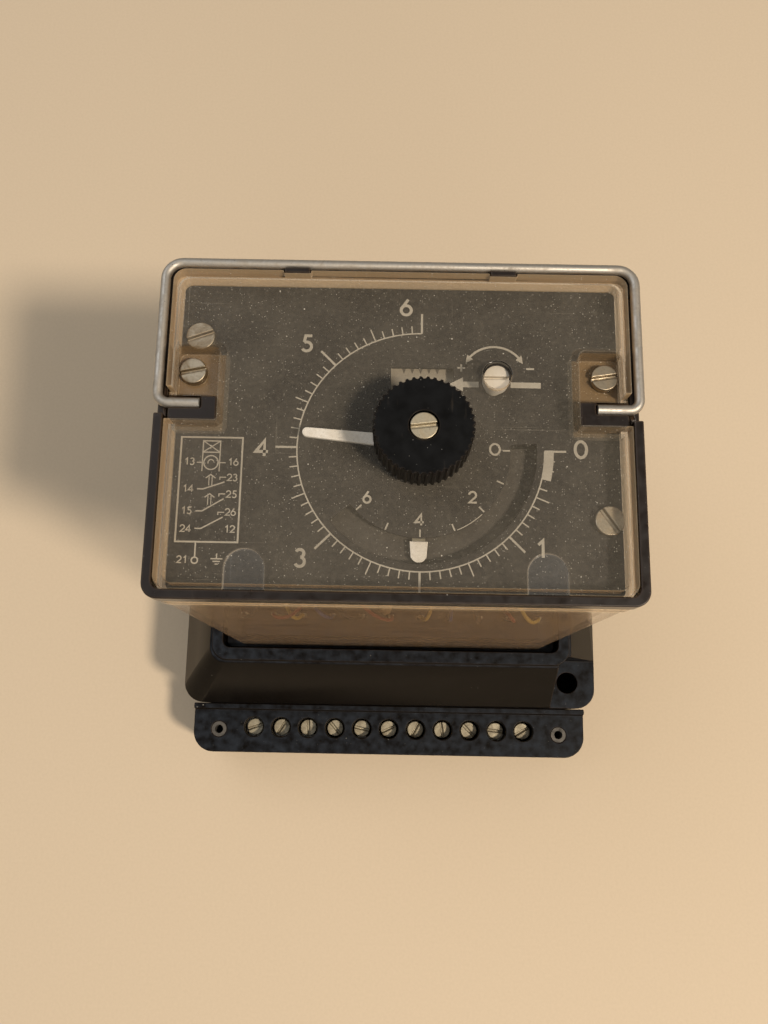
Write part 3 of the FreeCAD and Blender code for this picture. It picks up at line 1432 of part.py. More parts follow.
def make_clutch():
    """Clutch electromagnet on the base: yoke, core, bobbin, coil, pin and armature."""
    x, y = d.clutch_x, d.clutch_y
    floor = d.plinth_top
    foot_top = floor + d.yoke_thickness
    deep = (y - d.yoke_half_y, y + d.yoke_half_y)
    ear_x = (d.yoke_right - d.yoke_thickness, d.armature_pin_x + 2)
    ear_z = (d.armature_pin_z - 10, d.armature_pin_z + 2)
    ear_gap = d.armature_half_y + d.plate_gap
    yoke = fuse(
        "yoke_solid",
        box("yoke_foot", (d.yoke_left, d.yoke_right), deep, (floor, foot_top)),
        box("yoke_back", (d.yoke_right - d.yoke_thickness, d.yoke_right), deep, (floor, d.yoke_back_top)),
        box("yoke_front_ear", ear_x, (deep[0], y - ear_gap), ear_z),
        box("yoke_rear_ear", ear_x, (y + ear_gap, deep[1]), ear_z),
    )
    pin_hole = rod("yoke_pin_hole", d.armature_pin_x, deep, d.armature_pin_z, d.armature_pin_radius)
    subpart(cut("ClutchYoke", yoke, pin_hole), "clutch_yoke")
    pin = rod("ArmaturePin", d.armature_pin_x, deep, d.armature_pin_z, d.armature_pin_radius)
    subpart(pin, "armature_pin")
    subpart(rod("ClutchCore", x, y, (foot_top, d.core_top), d.core_radius), "clutch_core")
    sleeve = d.core_radius + d.bobbin_wall
    low_flange = (foot_top, foot_top + d.bobbin_wall)
    high_flange = (d.bobbin_top - d.bobbin_wall, d.bobbin_top)
    bobbin = fuse(
        "bobbin_solid",
        rod("bobbin_sleeve", x, y, (foot_top, d.bobbin_top), sleeve),
        rod("bobbin_low_flange", x, y, low_flange, d.bobbin_radius),
        rod("bobbin_high_flange", x, y, high_flange, d.bobbin_radius),
    )
    bore = rod("bobbin_bore", x, y, (foot_top, d.bobbin_top), d.core_radius)
    subpart(cut("ClutchBobbin", bobbin, bore), "clutch_bobbin")
    winding = (low_flange[1], high_flange[0])
    subpart(ring("ClutchCoil", x, y, winding, d.coil_radius, sleeve), "clutch_coil")
    wide = (y - d.armature_half_y, y + d.armature_half_y)
    half = d.armature_half_thickness
    plate_z = (d.armature_pin_z - half, d.armature_pin_z + half)
    armature = fuse(
        "armature_solid",
        box("armature_plate", (d.armature_left, d.armature_pin_x), wide, plate_z),
        rod("armature_knuckle", d.armature_pin_x, wide, d.armature_pin_z, half * 2),
    )
    knuckle_bore = rod(
        "armature_bore",
        d.armature_pin_x,
        wide,
        d.armature_pin_z,
        d.armature_pin_radius + d.running_clearance,
    )
    subpart(cut("ClutchArmature", armature, knuckle_bore), "clutch_armature")


def make_contact_stacks():
    """Change-over contact stacks on the base: insulating clamps, leaf springs, silver tips."""
    floor = d.plinth_top
    clamp_top = floor + d.stack_block_height
    for name, places in CONTACT_STACKS.items():
        leaves, clamps, tips = [], [], []
        for i, x in enumerate(places):
            wide = (x - d.stack_half_x, x + d.stack_half_x)
            blank = box(
                f"{name}_clamp_{i}_blank",
                wide,
                (d.stack_y - d.stack_half_y, d.stack_y + d.stack_half_y),
                (floor, clamp_top),
            )
            slots = []
            for k in (-1, 0, 1):
                leaf_y = d.stack_y + k * d.stack_leaf_spacing
                y = (leaf_y - d.leaf / 2, leaf_y + d.leaf / 2)
                narrow = (x - d.stack_half_x + 1, x + d.stack_half_x - 1)
                z = (floor + 2, d.stack_leaf_top)
                leaves.append(box(f"{name}_leaf_{i}_{k + 1}", narrow, y, z))
                slots.append(box(f"{name}_slot_{i}_{k + 1}", narrow, y, (floor + 2, clamp_top)))
                tip_y = []
                if k <= 0:
                    tip_y.append((y[1], y[1] + d.contact_thickness))
                if k >= 0:
                    tip_y.append((y[0] - d.contact_thickness, y[0]))
                for j, pair in enumerate(tip_y):
                    tip_name = f"{name}_tip_{i}_{k + 1}_{j}"
                    tips.append(rod(tip_name, as_size(x), pair, d.contact_height, d.contact_radius))
            clamps.append(cut(f"{name}_clamp_{i}", blank, *slots))
        subpart(group(f"{name}_leaves", leaves), f"{name}_springs")
        subpart(group(f"{name}_clamps", clamps), f"{name}_clamps")
        subpart(group(f"{name}_tips", tips), f"{name}_tips")


def make_trip_shaft():
    """Upright shaft that the main wheel's cam turns, with an arm down at the delay contacts."""
    x, y = d.trip_x, d.trip_y
    half = d.trip_arm_half
    upper = (d.trip_upper_arm, d.trip_upper_arm + d.trip_arm_thickness)
    lower = (d.trip_lower_arm, d.trip_lower_arm + d.trip_arm_thickness)
    shaft = rod("trip_rod", x, y, (d.trip_low, d.upper_plate_low + 2), d.shaft_radius)
    upper_arm = box("trip_upper_arm", (x - half, x + half), (y, d.dial_y - d.trip_arm_gap), upper)
    reach_y = y + d.trip_arm_reach_y
    neck = box("trip_lower_neck", (x - half, x + half), (y, reach_y + half), lower)
    finger = box("trip_finger", (x - d.trip_arm_reach_x, x), (reach_y - half, reach_y + half), lower)
    subpart(fuse("TripShaft", shaft, upper_arm, neck, finger), "trip_shaft")


# ---------------------------------------------------------------- build, check and write


def build():
    make_socket_body()
    for side in ("front", "rear"):
        make_terminal_strip(side)
        make_blades(side)
    make_terminals()
    make_socket_bottom()
    make_relay_base()
    make_clear_cover()
    make_rim_frame()
    make_wire_bail()
    make_scale_plate()
    make_indicator_backing()
    make_case_screws()
    make_plates_and_pillars()
    make_time_train()
    make_motor()
    make_range_selector()
    make_setting_knob()
    make_clutch()
    make_contact_stacks()
    make_trip_shaft()


def check_document():
    """Stops if a feature failed, a cut removed nothing or a sub-part is not a valid solid."""
    for obj in doc.Objects:
        if "Invalid" in obj.State or "Error" in obj.State:
            raise RuntimeError(f"{obj.Name} failed: {obj.State}")
        if obj.TypeId == "PartDesign::Pocket":
            if obj.Shape.Volume > obj.BaseFeature.Shape.Volume - 1e-3:
                raise RuntimeError(f"{obj.Name} removed nothing")
    for obj in SUBPARTS:
        shape = obj.Shape
        if shape.isNull() or not shape.isValid() or not shape.Solids:
            raise RuntimeError(f"{obj.Label} is not a valid solid")


def write_steps():
    os.makedirs("parts", exist_ok=True)
    for obj in SUBPARTS:
        obj.Shape.exportStep(f"parts/{obj.Label}.step")
        print(obj.Label, len(obj.Shape.Solids), f"{obj.Shape.Volume:.1f}")


build()
doc.recompute()
check_document()
write_steps()
print(len(SUBPARTS), "sub-parts")
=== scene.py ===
import json
import math
import random

import bpy
from mathutils import Euler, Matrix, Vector


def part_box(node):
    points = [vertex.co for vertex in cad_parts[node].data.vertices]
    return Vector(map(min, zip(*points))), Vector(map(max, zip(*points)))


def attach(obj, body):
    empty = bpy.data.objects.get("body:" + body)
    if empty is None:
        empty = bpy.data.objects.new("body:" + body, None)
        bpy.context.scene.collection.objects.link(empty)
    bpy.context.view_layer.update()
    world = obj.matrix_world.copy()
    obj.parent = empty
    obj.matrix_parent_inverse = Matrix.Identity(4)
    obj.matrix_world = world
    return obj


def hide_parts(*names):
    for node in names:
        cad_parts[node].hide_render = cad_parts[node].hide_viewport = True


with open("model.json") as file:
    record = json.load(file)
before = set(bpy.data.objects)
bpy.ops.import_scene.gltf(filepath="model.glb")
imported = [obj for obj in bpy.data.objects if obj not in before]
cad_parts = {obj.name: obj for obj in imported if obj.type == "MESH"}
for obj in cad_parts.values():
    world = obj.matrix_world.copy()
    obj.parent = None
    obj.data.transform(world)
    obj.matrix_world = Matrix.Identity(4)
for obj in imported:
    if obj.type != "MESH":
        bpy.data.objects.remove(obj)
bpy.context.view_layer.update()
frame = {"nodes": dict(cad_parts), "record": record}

MM = 0.001
nodes = frame["nodes"]
rng = random.Random(61)


def middle(name):
    """The middle of a CAD node's box, in millimetres."""
    low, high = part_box(name)
    return (low + high) / 2 / MM


def pivot(name):
    """A joint's point in the record, in millimetres."""
    joints = frame["record"]["behaviour"]["joints"]
    return next(Vector(joint["pos_m"]) / MM for joint in joints if joint["name"] == name)


# ---------------------------------------------------------------- camera, light and floor


LENS = 32.35
CAMERA_PLACE = (-0.00236, -0.06375, 0.37875)
CAMERA_TILT, CAMERA_TURN, CAMERA_ROLL = 12.577, 0.61, 0.425
FLOOR_HALF = 4.0


def make_camera():
    """A camera nearly overhead, in front of the relay and a little above its middle."""
    data = bpy.data.cameras.new("view")
    data.sensor_fit = "AUTO"
    data.sensor_width = 36.0
    data.lens = LENS
    data.clip_start = 0.01
    camera = bpy.data.objects.new("view", data)
    tilt, turn, roll = (math.radians(a) for a in (CAMERA_TILT, CAMERA_TURN, CAMERA_ROLL))
    camera.location = CAMERA_PLACE
    look = Euler((tilt, 0.0, turn)).to_matrix() @ Euler((0.0, 0.0, roll)).to_matrix()
    camera.rotation_euler = look.to_euler()
    bpy.context.scene.collection.objects.link(camera)
    bpy.context.scene.camera = camera


def area_light(name, place, target, size, power, colour):
    """A round area light at place, turned towards target."""
    data = bpy.data.lights.new(name, "AREA")
    data.shape = "DISK"
    data.size = size
    data.energy = power
    data.color = colour
    lamp = bpy.data.objects.new(name, data)
    lamp.location = place
    lamp.rotation_euler = (Vector(target) - Vector(place)).to_track_quat("-Z", "Y").to_euler()
    bpy.context.scene.collection.objects.link(lamp)


def make_stage():
    """A warm key light, two weak fills, an even world and a plain paper floor."""
    area_light("key", (0.80, -0.54, 1.50), (0, 0, 0.1), 0.20, 24.0, (1.0, 0.86, 0.70))
    area_light("fill", (-0.9, 0.5, 1.3), (0, 0, 0.1), 1.4, 5.0, (0.93, 0.95, 1.0))
    area_light("front", (0.1, -1.5, 0.6), (0, 0, 0.08), 0.9, 3.0, (1.0, 0.93, 0.85))
    world = bpy.data.worlds.new("studio")
    world.use_nodes = True
    background = world.node_tree.nodes["Background"]
    background.inputs["Color"].default_value = (0.90, 0.86, 0.80, 1.0)
    background.inputs["Strength"].default_value = 0.32
    bpy.context.scene.world = world
    signs = ((-1, -1), (1, -1), (1, 1), (-1, 1))
    corners = [(x * FLOOR_HALF, y * FLOOR_HALF, 0) for x, y in signs]
    mesh = bpy.data.meshes.new("floor")
    mesh.from_pydata(corners, [], [(0, 1, 2, 3)])
    floor = bpy.data.objects.new("floor", mesh)
    bpy.context.scene.collection.objects.link(floor)
    paper = Surface("floor_paper", (214, 196, 170), 0.75)
    paper.tint(paper.noise(0.9, 5), 0.35, 0.75, (206, 188, 161), 0.5)
    paper.bump(paper.noise(1.5, 3), 0.03, 0.25)
    mesh.materials.append(paper.done())


# ---------------------------------------------------------------- procedural materials


def linear(rgb):
    """A display colour, 0 to 255, as scene-linear RGBA."""
    return tuple(
        c / 255 / 12.92 if c <= 10 else ((c / 255 + 0.055) / 1.055) ** 2.4 for c in rgb
    ) + (1.0,)


class Surface:
    """A Principled material built up in layers from noise in the object's own millimetres."""

    def __init__(self, name, colour, roughness, metallic=0.0, **inputs):
        """Other keywords set the shader's own sockets, such as specular_ior_level."""
        self.mat = bpy.data.materials.new(name)
        self.mat.use_nodes = True
        self.tree = self.mat.node_tree
        self.bsdf = self.tree.nodes["Principled BSDF"]
        self.bsdf.inputs["Metallic"].default_value = metallic
        self.bsdf.inputs["Roughness"].default_value = roughness
        self.bsdf.inputs["Base Color"].default_value = linear(colour)
        for key, value in inputs.items():
            socket = key.replace("_", " ").title().replace("Ior", "IOR")
            self.bsdf.inputs[socket].default_value = value
        coordinates = self.node("ShaderNodeTexCoord")
        scale = self.node("ShaderNodeVectorMath", operation="SCALE")
        scale.inputs["Scale"].default_value = 1 / MM
        self.link(coordinates.outputs["Object"], scale.inputs[0])
        self.mm = scale.outputs[0]
        self.geometry = self.node("ShaderNodeNewGeometry")
        self.colour = linear(colour)
        self.rough = roughness
        self.alpha = None
        self.height = None

    def node(self, kind, **settings):
        """A new shader node with its settings."""
        made = self.tree.nodes.new(kind)
        for key, value in settings.items():
            setattr(made, key, value)
        return made

    def link(self, a, b):
        """Joins an output to an input."""
        self.tree.links.new(a, b)

    def feed(self, value, socket):
        """Connects a socket, or sets a plain value."""
        if isinstance(value, bpy.types.NodeSocket):
            self.link(value, socket)
        else:
            socket.default_value = value

    def placed(self, stretch, turn=0.0):
        """The millimetre coordinates, stretched and turned about Z."""
        if stretch == (1, 1, 1) and not turn:
            return self.mm
        mapping = self.node("ShaderNodeMapping")
        mapping.inputs["Scale"].default_value = stretch
        mapping.inputs["Rotation"].default_value = (0, 0, math.radians(turn))
        self.link(self.mm, mapping.inputs["Vector"])
        return mapping.outputs[0]

    def noise(self, per_mm, detail=2, stretch=(1, 1, 1), turn=0.0, distortion=0.0):
        """Noise with per_mm features to the millimetre."""
        texture = self.node("ShaderNodeTexNoise")
        texture.inputs["Scale"].default_value = per_mm
        texture.inputs["Detail"].default_value = detail
        texture.inputs["Distortion"].default_value = distortion
        self.link(self.placed(stretch, turn), texture.inputs["Vector"])
        return texture.outputs["Fac"]

    def specks(self, per_mm, size, rarity):
        """Round specks of random size in a share of the cells of a random grid."""
        texture = self.node("ShaderNodeTexVoronoi")
        texture.inputs["Scale"].default_value = per_mm
        self.link(self.mm, texture.inputs["Vector"])
        chosen = self.node("ShaderNodeSeparateColor")
        self.link(texture.outputs["Color"], chosen.inputs[0])
        reach = self.math("MULTIPLY", self.step(chosen.outputs[0], rarity, 1.0), size)
        near = self.math("SUBTRACT", reach, texture.outputs["Distance"])
        return self.step(near, 0.0, 0.03)

    def math(self, operation, a, b=0.0):
        """One operation on sockets or plain values."""
        made = self.node("ShaderNodeMath", operation=operation)
        self.feed(a, made.inputs[0])
        self.feed(b, made.inputs[1])
        return made.outputs[0]

    def step(self, value, low, high, to_low=0.0, to_high=1.0):
        """value mapped from low..high to to_low..to_high, and held there."""
        made = self.node("ShaderNodeMapRange")
        self.feed(value, made.inputs["Value"])
        limits = {"From Min": low, "From Max": high, "To Min": to_low, "To Max": to_high}
        for key, number in limits.items():
            made.inputs[key].default_value = number
        return made.outputs[0]

    def axes(self):
        """X, Y and Z in millimetres."""
        split = self.node("ShaderNodeSeparateXYZ")
        self.link(self.mm, split.inputs[0])
        return split.outputs[0], split.outputs[1], split.outputs[2]

    def all_of(self, *masks):
        """The product of masks."""
        whole = masks[0]
        for mask in masks[1:]:
            whole = self.math("MULTIPLY", whole, mask)
        return whole

    def upward(self, low=0.3, high=0.95):
        """How far the surface faces up."""
        split = self.node("ShaderNodeSeparateXYZ")
        self.link(self.geometry.outputs["Normal"], split.inputs[0])
        return self.step(split.outputs["Z"], low, high)

    def edges(self, radius):
        """Where the surface bends within radius millimetres."""
        bevel = self.node("ShaderNodeBevel", samples=4)
        bevel.inputs["Radius"].default_value = radius * MM
        dot = self.node("ShaderNodeVectorMath", operation="DOT_PRODUCT")
        self.link(bevel.outputs[0], dot.inputs[0])
        self.link(self.geometry.outputs["Normal"], dot.inputs[1])
        return self.step(dot.outputs["Value"], 0.995, 0.90)

    def tint(self, value, low, high, colour, most=1.0):
        """Mixes in a colour where value passes from low to high."""
        factor = self.step(value, low, high, 0.0, most)
        mix = self.node("ShaderNodeMix", data_type="RGBA")
        self.link(factor, mix.inputs[0])
        self.feed(self.colour, mix.inputs[6])
        mix.inputs[7].default_value = linear(colour)
        self.colour = mix.outputs[2]
        return factor

    def matt(self, factor, roughness):
        """Mixes in a roughness by factor."""
        mix = self.node("ShaderNodeMix", data_type="FLOAT")
        self.feed(factor, mix.inputs[0])
        self.feed(self.rough, mix.inputs[2])
        mix.inputs[3].default_value = roughness
        self.rough = mix.outputs[0]

    def bump(self, value, depth, strength=1.0):
        """Adds a bump depth millimetres high on top of those before it."""
        made = self.node("ShaderNodeBump")
        made.inputs["Strength"].default_value = strength
        made.inputs["Distance"].default_value = depth * MM
        self.feed(value, made.inputs["Height"])
        if self.height is not None:
            self.link(self.height, made.inputs["Normal"])
        self.height = made.outputs[0]

    def done(self):
        """Connects the layers to the shader."""
        self.feed(self.colour, self.bsdf.inputs["Base Color"])
        self.feed(self.rough, self.bsdf.inputs["Roughness"])
        if self.alpha is not None:
            self.feed(self.alpha, self.bsdf.inputs["Alpha"])
        if self.height is not None:
            self.link(self.height, self.bsdf.inputs["Normal"])
        return self.mat


def bakelite(name, colour, roughness, dust, wear_and_sheen, shine, specks=0.4):
    """Black phenolic moulding: faint flow marks, grey dust on top, brown edges that are partly
    rubbed wear and partly a painted brown edge reflection.
    """
    s = Surface(name, colour, roughness, specular_ior_level=shine)
    s.tint(s.noise(0.09, 3, distortion=1.2), 0.4, 0.7, tuple(c + 4 for c in colour), 0.7)
    # painted reflection and wear: the bends are tinted brown
    s.tint(s.edges(0.5), 0.0, 1.0, (92, 74, 58), wear_and_sheen)
    top = s.upward(0.8, 0.98)
    film = s.math("MULTIPLY", top, s.step(s.noise(0.35, 6), 0.3, 0.8))
    s.tint(film, 0.0, 1.0, (90, 102, 118), dust)
    s.matt(film, 0.62)
    fine = s.math("MULTIPLY", s.specks(1.3, 0.14, 0.7), s.upward(0.4, 0.8))
    s.tint(fine, 0.0, 1.0, (150, 148, 142), specks)
    coarse = s.math("MULTIPLY", s.specks(0.45, 0.12, 0.88), s.upward(0.4, 0.8))
    s.tint(coarse, 0.0, 1.0, (190, 184, 172), min(1.0, specks * 1.5))
    s.tint(s.noise(1.1, 4, (1, 0.12, 1), 20), 0.66, 0.8, (70, 62, 54), 0.4 * specks)
    s.bump(s.noise(0.5, 3), 0.03, 0.35)
    s.bump(s.noise(6.0, 2), 0.012, 0.3)
    return s.done()


def metal(name, colour, roughness, tarnish, grain=(1, 1, 1), amount=0.45, metallic=1.0):
    """Plated or bare metal: tool marks, tarnish in patches, dull spots."""
    s = Surface(name, colour, roughness, metallic)
    patches = s.noise(0.35, 4, distortion=0.8)
    s.tint(patches, 0.42, 0.72, tarnish, amount)
    s.tint(s.noise(1.8, 4), 0.5, 0.8, tarnish, amount * 0.6)
    s.matt(s.step(patches, 0.4, 0.75), min(1.0, roughness + 0.25))
    s.bump(s.noise(3.0, 3, grain), 0.02, 0.5)
    s.tint(s.specks(0.9, 0.14, 0.6), 0.0, 1.0, tuple(int(c * 0.45) for c in tarnish), 0.6)
    s.tint(s.edges(0.3), 0.0, 1.0, tuple(int(c * 0.8) for c in tarnish), amount)
    return s.done()


def painted(name, colour, roughness, second, specks, dust=0.2):
    """Matt paint: fine tooth, small chips and light dust."""
    s = Surface(name, colour, roughness, specular_ior_level=0.35)
    s.tint(s.noise(0.06, 4, distortion=0.5), 0.4, 0.68, second, 0.7)
    s.tint(s.noise(1.6, 3), 0.5, 0.75, second, 0.4)
    s.tint(s.specks(1.3, 0.13, 0.75), 0.0, 1.0, specks, 0.6)
    settled = s.math("MULTIPLY", s.upward(), s.step(s.noise(0.8, 6), 0.4, 0.8))
    s.tint(settled, 0.0, 1.0, specks, dust)
    s.bump(s.noise(4.0, 3), 0.012, 0.4)
    return s.done()


# The cover's regions, in millimetres. wide is the distance from the relay's middle plane.
COVER_TOP = 181.0
RIM_LOW, RIM_FULL = 165.0, 171.5
FRONT_Y = -37.5
POCKET_WIDE, POCKET_BACK, POCKET_FLOOR = 40.75, 19.2, 173.75
ARCH_X, ARCH_CENTRE_Y = 32.9, -32.9
SELECTOR_BORE = 3.4
# The wall tints below are yellowed plastic with painted light on the walls and a painted reflection
# of a tan floor in front.
RIM_LIT_TAN = (240, 206, 158)
WALL_LIT_CREAM = (206, 188, 156)
FRONT_REFLECTED_BROWN = (184, 152, 118)
FRONT_BLOTCH = (104, 80, 58)


def scratch_marks(s):
    """Fine scratches in three directions."""
    marks = None
    for turn, stretch in ((25, (0.03, 1.6, 1)), (-50, (1.4, 0.02, 1)), (80, (0.02, 1.1, 1))):
        line = s.step(s.noise(1.0, 3, stretch, turn), 0.71, 0.75, 0.0, 0.16)
        marks = line if marks is None else s.math("ADD", marks, line)
    return marks


def from_selector(s, x, y, selector):
    """The horizontal distance from the selector's axis."""
    away = s.node("ShaderNodeVectorMath", operation="DISTANCE")
    flat = s.node("ShaderNodeCombineXYZ")
    s.link(x, flat.inputs[0])
    s.link(y, flat.inputs[1])
    s.link(flat.outputs[0], away.inputs[0])
    away.inputs[1].default_value = (selector.x, selector.y, 0)
    return away.outputs["Value"]


def clear_plastic():
    """Yellowed clear plastic: dust and scratches on top, a tan rim and tinted walls that carry
    painted light and a painted floor reflection, clear walls below, painted highlights at its
    bends.
    """
    s = Surface("cover_plastic", (150, 142, 126), 0.14, ior=1.49, specular_ior_level=0.5)
    x, y, z = s.axes()
    wide = s.math("ABSOLUTE", x)
    selector = middle("selector_spindle")
    # haze, scratches and dust, and painted highlights at the bends
    haze = s.step(s.noise(0.05, 4, distortion=0.6), 0.3, 0.75, 0.015, 0.06)
    fine = s.step(s.noise(1.2, 5), 0.52, 0.8, 0.0, 0.09)
    scratches = scratch_marks(s)
    above = s.upward(0.5, 0.9)
    coarse = s.math("MULTIPLY", s.specks(0.5, 0.11, 0.86), above)
    tiny = s.math("MULTIPLY", s.specks(1.9, 0.21, 0.5), above)
    dust = s.math("ADD", s.math("MULTIPLY", coarse, 0.6), s.math("MULTIPLY", tiny, 0.48))
    split = s.node("ShaderNodeSeparateXYZ")
    s.link(s.geometry.outputs["Normal"], split.inputs[0])
    steep = s.step(s.math("ABSOLUTE", split.outputs["Z"]), 0.85, 0.35)
    facing = s.node("ShaderNodeLayerWeight")
    facing.inputs["Blend"].default_value = 0.5
    grazing = s.step(facing.outputs["Facing"], 0.7, 1.0, 0.0, 0.22)
    # painted highlight: the bends are made lighter and more opaque, less so low down
    bends = s.step(s.edges(0.35), 0.0, 1.0, 0.0, 0.3)
    edge_highlight = s.math("MULTIPLY", bends, s.step(z, 174.5, 177.5, 0.2, 1.0))
    # the screw pockets, and the walls round them
    pocket = s.all_of(
        s.step(wide, POCKET_WIDE - 0.15, POCKET_WIDE + 0.15),
        s.step(y, 0.2, 0.6),
        s.step(y, POCKET_BACK + 0.2, POCKET_BACK - 0.2),
        s.step(z, COVER_TOP, COVER_TOP - 0.5),
        s.step(z, POCKET_FLOOR - 0.25, POCKET_FLOOR + 0.25),
    )
    near = s.all_of(s.step(wide, 38.6, 38.9), s.step(wide, 51.5, 51.2), s.step(y, -1.0, -0.7))
    near = s.all_of(near, s.step(y, 20.6, 20.3), s.step(z, 173.9, 174.1))
    # the upright walls: thick at the rim, clear below, browner in front; their tan, cream and brown
    # tints are yellowed plastic with painted light and a painted reflection of a tan floor
    steep = s.math("MULTIPLY", steep, s.step(near, 0.0, 1.0, 1.0, 0.25))
    rim = s.math("MULTIPLY", steep, s.step(z, RIM_LOW, RIM_FULL))
    wall = s.math("MULTIPLY", steep, s.step(z, RIM_FULL, RIM_LOW))
    front = s.math("MULTIPLY", wall, s.step(y, FRONT_Y + 1.0, FRONT_Y - 1.0))
    film = s.step(s.noise(0.035, 4, (1, 1, 0.5), distortion=0.8), 0.35, 0.7, 0.02, 0.09)
    # the two arch marks, a veil of dust on top and the shadowed bore of the selector
    across = s.math("SUBTRACT", wide, ARCH_X)
    beyond = s.math("MAXIMUM", s.math("SUBTRACT", y, ARCH_CENTRE_Y), 0.0)
    reach = s.math("ADD", s.math("MULTIPLY", across, across), s.math("MULTIPLY", beyond, beyond))
    arch = s.all_of(s.step(reach, 20.5, 19.0), s.step(z, COVER_TOP, COVER_TOP + 0.3))
    patches = s.step(s.noise(0.12, 5, distortion=0.5), 0.3, 0.7, 0.035, 0.07)
    veil = s.math("MULTIPLY", above, patches)
    bore = s.step(from_selector(s, x, y, selector), SELECTOR_BORE + 0.1, SELECTOR_BORE)
    bore = s.all_of(bore, s.step(y, selector.y - 0.6, selector.y + 0.2))
    # how much of each shows
    total = haze
    for part in (fine, scratches, dust, grazing, edge_highlight, veil):
        total = s.math("ADD", total, part)
    layers = ((rim, 0.44), (wall, film), (front, 0.17), (pocket, 0.36), (arch, 0.03), (bore, 0.9))
    for mask, alpha in layers:
        total = s.math("ADD", total, s.math("MULTIPLY", mask, alpha))
    s.alpha = s.step(total, 0.0, 1.0)
    # painted light and painted floor reflection on the rim, walls and front, over yellowed plastic
    s.tint(rim, 0.0, 1.0, RIM_LIT_TAN, 0.95)
    s.tint(wall, 0.0, 1.0, WALL_LIT_CREAM, 0.9)
    s.tint(front, 0.0, 1.0, FRONT_REFLECTED_BROWN, 0.9)
    blotches = s.step(s.noise(0.1, 5, (0.5, 1, 2.5), distortion=1.5), 0.42, 0.66)
    s.tint(s.all_of(front, blotches), 0.0, 1.0, FRONT_BLOTCH, 0.5)
    s.tint(pocket, 0.0, 1.0, (152, 124, 86), 0.85)
    s.tint(arch, 0.0, 1.0, (150, 152, 152), 0.9)
    # painted highlight along the bends
    s.tint(edge_highlight, 0.0, 0.3, (214, 204, 186), 0.7)
    s.tint(dust, 0.0, 0.6, (218, 212, 198))
    s.tint(bore, 0.0, 1.0, (8, 6, 4))
    s.matt(fine, 0.5)
    s.bump(s.noise(0.25, 3), 0.05, 0.15)
    s.bump(s.noise(3.0, 2), 0.01, 0.2)
    return s.done()


FILED = (0.2, 3, 1)


def make_materials():
    """Every finish, by the record's slot or by this script's own name for it."""
    return {
        "bakelite": bakelite("black_bakelite", (10, 7, 5), 0.32, 0.21, 0.3, 0.1),
        # the frame's brown edges paint a brown edge reflection as well as wear
        "frame": bakelite("frame_bakelite", (24, 16, 10), 0.24, 0.03, 0.7, 0.36, 0.5),
        "knob": bakelite("knob_bakelite", (7, 7, 7), 0.34, 0.02, 0.12, 0.14, 0.8),
        "clear_plastic": clear_plastic(),
        "dial_paint": painted("dial_paint", (27, 23, 19), 0.62, (34, 30, 25), (96, 88, 76)),
        "grey_paint": painted("backing_paint", (56, 51, 45), 0.6, (64, 59, 51), (108, 100, 88)),
        "white_paint": painted(
            "white_enamel", (240, 235, 225), 0.42, (206, 194, 172), (160, 148, 126), 0.1
        ),
        "print": painted("print_ink", (176, 168, 152), 0.6, (152, 144, 129), (112, 104, 92), 0.1),
        "white_plastic": painted(
            "bone_plastic", (206, 198, 184), 0.45, (200, 188, 164), (150, 136, 112), 0.1
        ),
        # the range disc's plastic is darkened to paint the shade it lies in under the scale plate
        "range_disc": painted(
            "range_plastic_painted_shade", (158, 149, 132), 0.5, (140, 131, 115), (120, 108, 90), 0.1
        ),
        "range_mark": painted("range_ink", (92, 86, 76), 0.6, (104, 97, 86), (130, 120, 104), 0.1),
        "steel_wire": metal("wire_steel", (192, 187, 178), 0.46, (146, 136, 122), (1, 1, 1), 0.45),
        "nickel": metal("nickel_screw", (196, 186, 162), 0.42, (140, 124, 98), FILED, 0.5, 0.85),
        "dull_nickel": metal("dull_nickel", (184, 172, 150), 0.36, (112, 94, 70), FILED, 0.6),
        "well_nickel": metal(
            "terminal_nickel", (176, 168, 146), 0.5, (120, 110, 92), FILED, 0.6, 0.6
        ),
        "dark_rivet": metal("dark_rivet", (96, 92, 86), 0.55, (52, 50, 47), (1, 1, 1), 0.7, 0.4),
        "brass": metal("aged_brass", (186, 150, 84), 0.34, (118, 92, 52)),
        "tinned_brass": metal("tinned_brass", (190, 182, 160), 0.38, (130, 116, 92)),
        "zinc_steel": metal("zinc_steel", (168, 166, 160), 0.36, (120, 116, 108), (0.3, 2, 2)),
        "phosphor_bronze": metal("spring_bronze", (176, 130, 84), 0.32, (112, 78, 50)),
        "silver": metal("contact_silver", (205, 202, 196), 0.28, (92, 86, 80)),
        "motor_paint": painted("motor_paint", (86, 90, 96), 0.38, (100, 104, 110), (140, 140, 138)),
        "copper_winding": metal("winding_copper", (146, 72, 34), 0.34, (84, 38, 20)),
        "bobbin_plastic": painted(
            "bobbin_phenolic", (150, 122, 82), 0.5, (126, 98, 62), (96, 74, 48)
        ),
        "paper_board": painted("paper_board", (88, 64, 44), 0.66, (72, 50, 34), (120, 96, 70)),
        "wire_black": painted("wire_black", (30, 29, 29), 0.5, (40, 39, 38), (90, 86, 80)),
        "wire_red": painted("wire_red", (128, 34, 26), 0.45, (106, 26, 20), (150, 90, 70)),
        "wire_yellow": painted(
            "wire_yellow", (176, 142, 54), 0.45, (150, 118, 40), (196, 170, 110)
        ),
        "wire_blue": painted("wire_blue", (44, 60, 104), 0.45, (34, 48, 86), (96, 104, 130)),
    }


# ---------------------------------------------------------------- CAD nodes


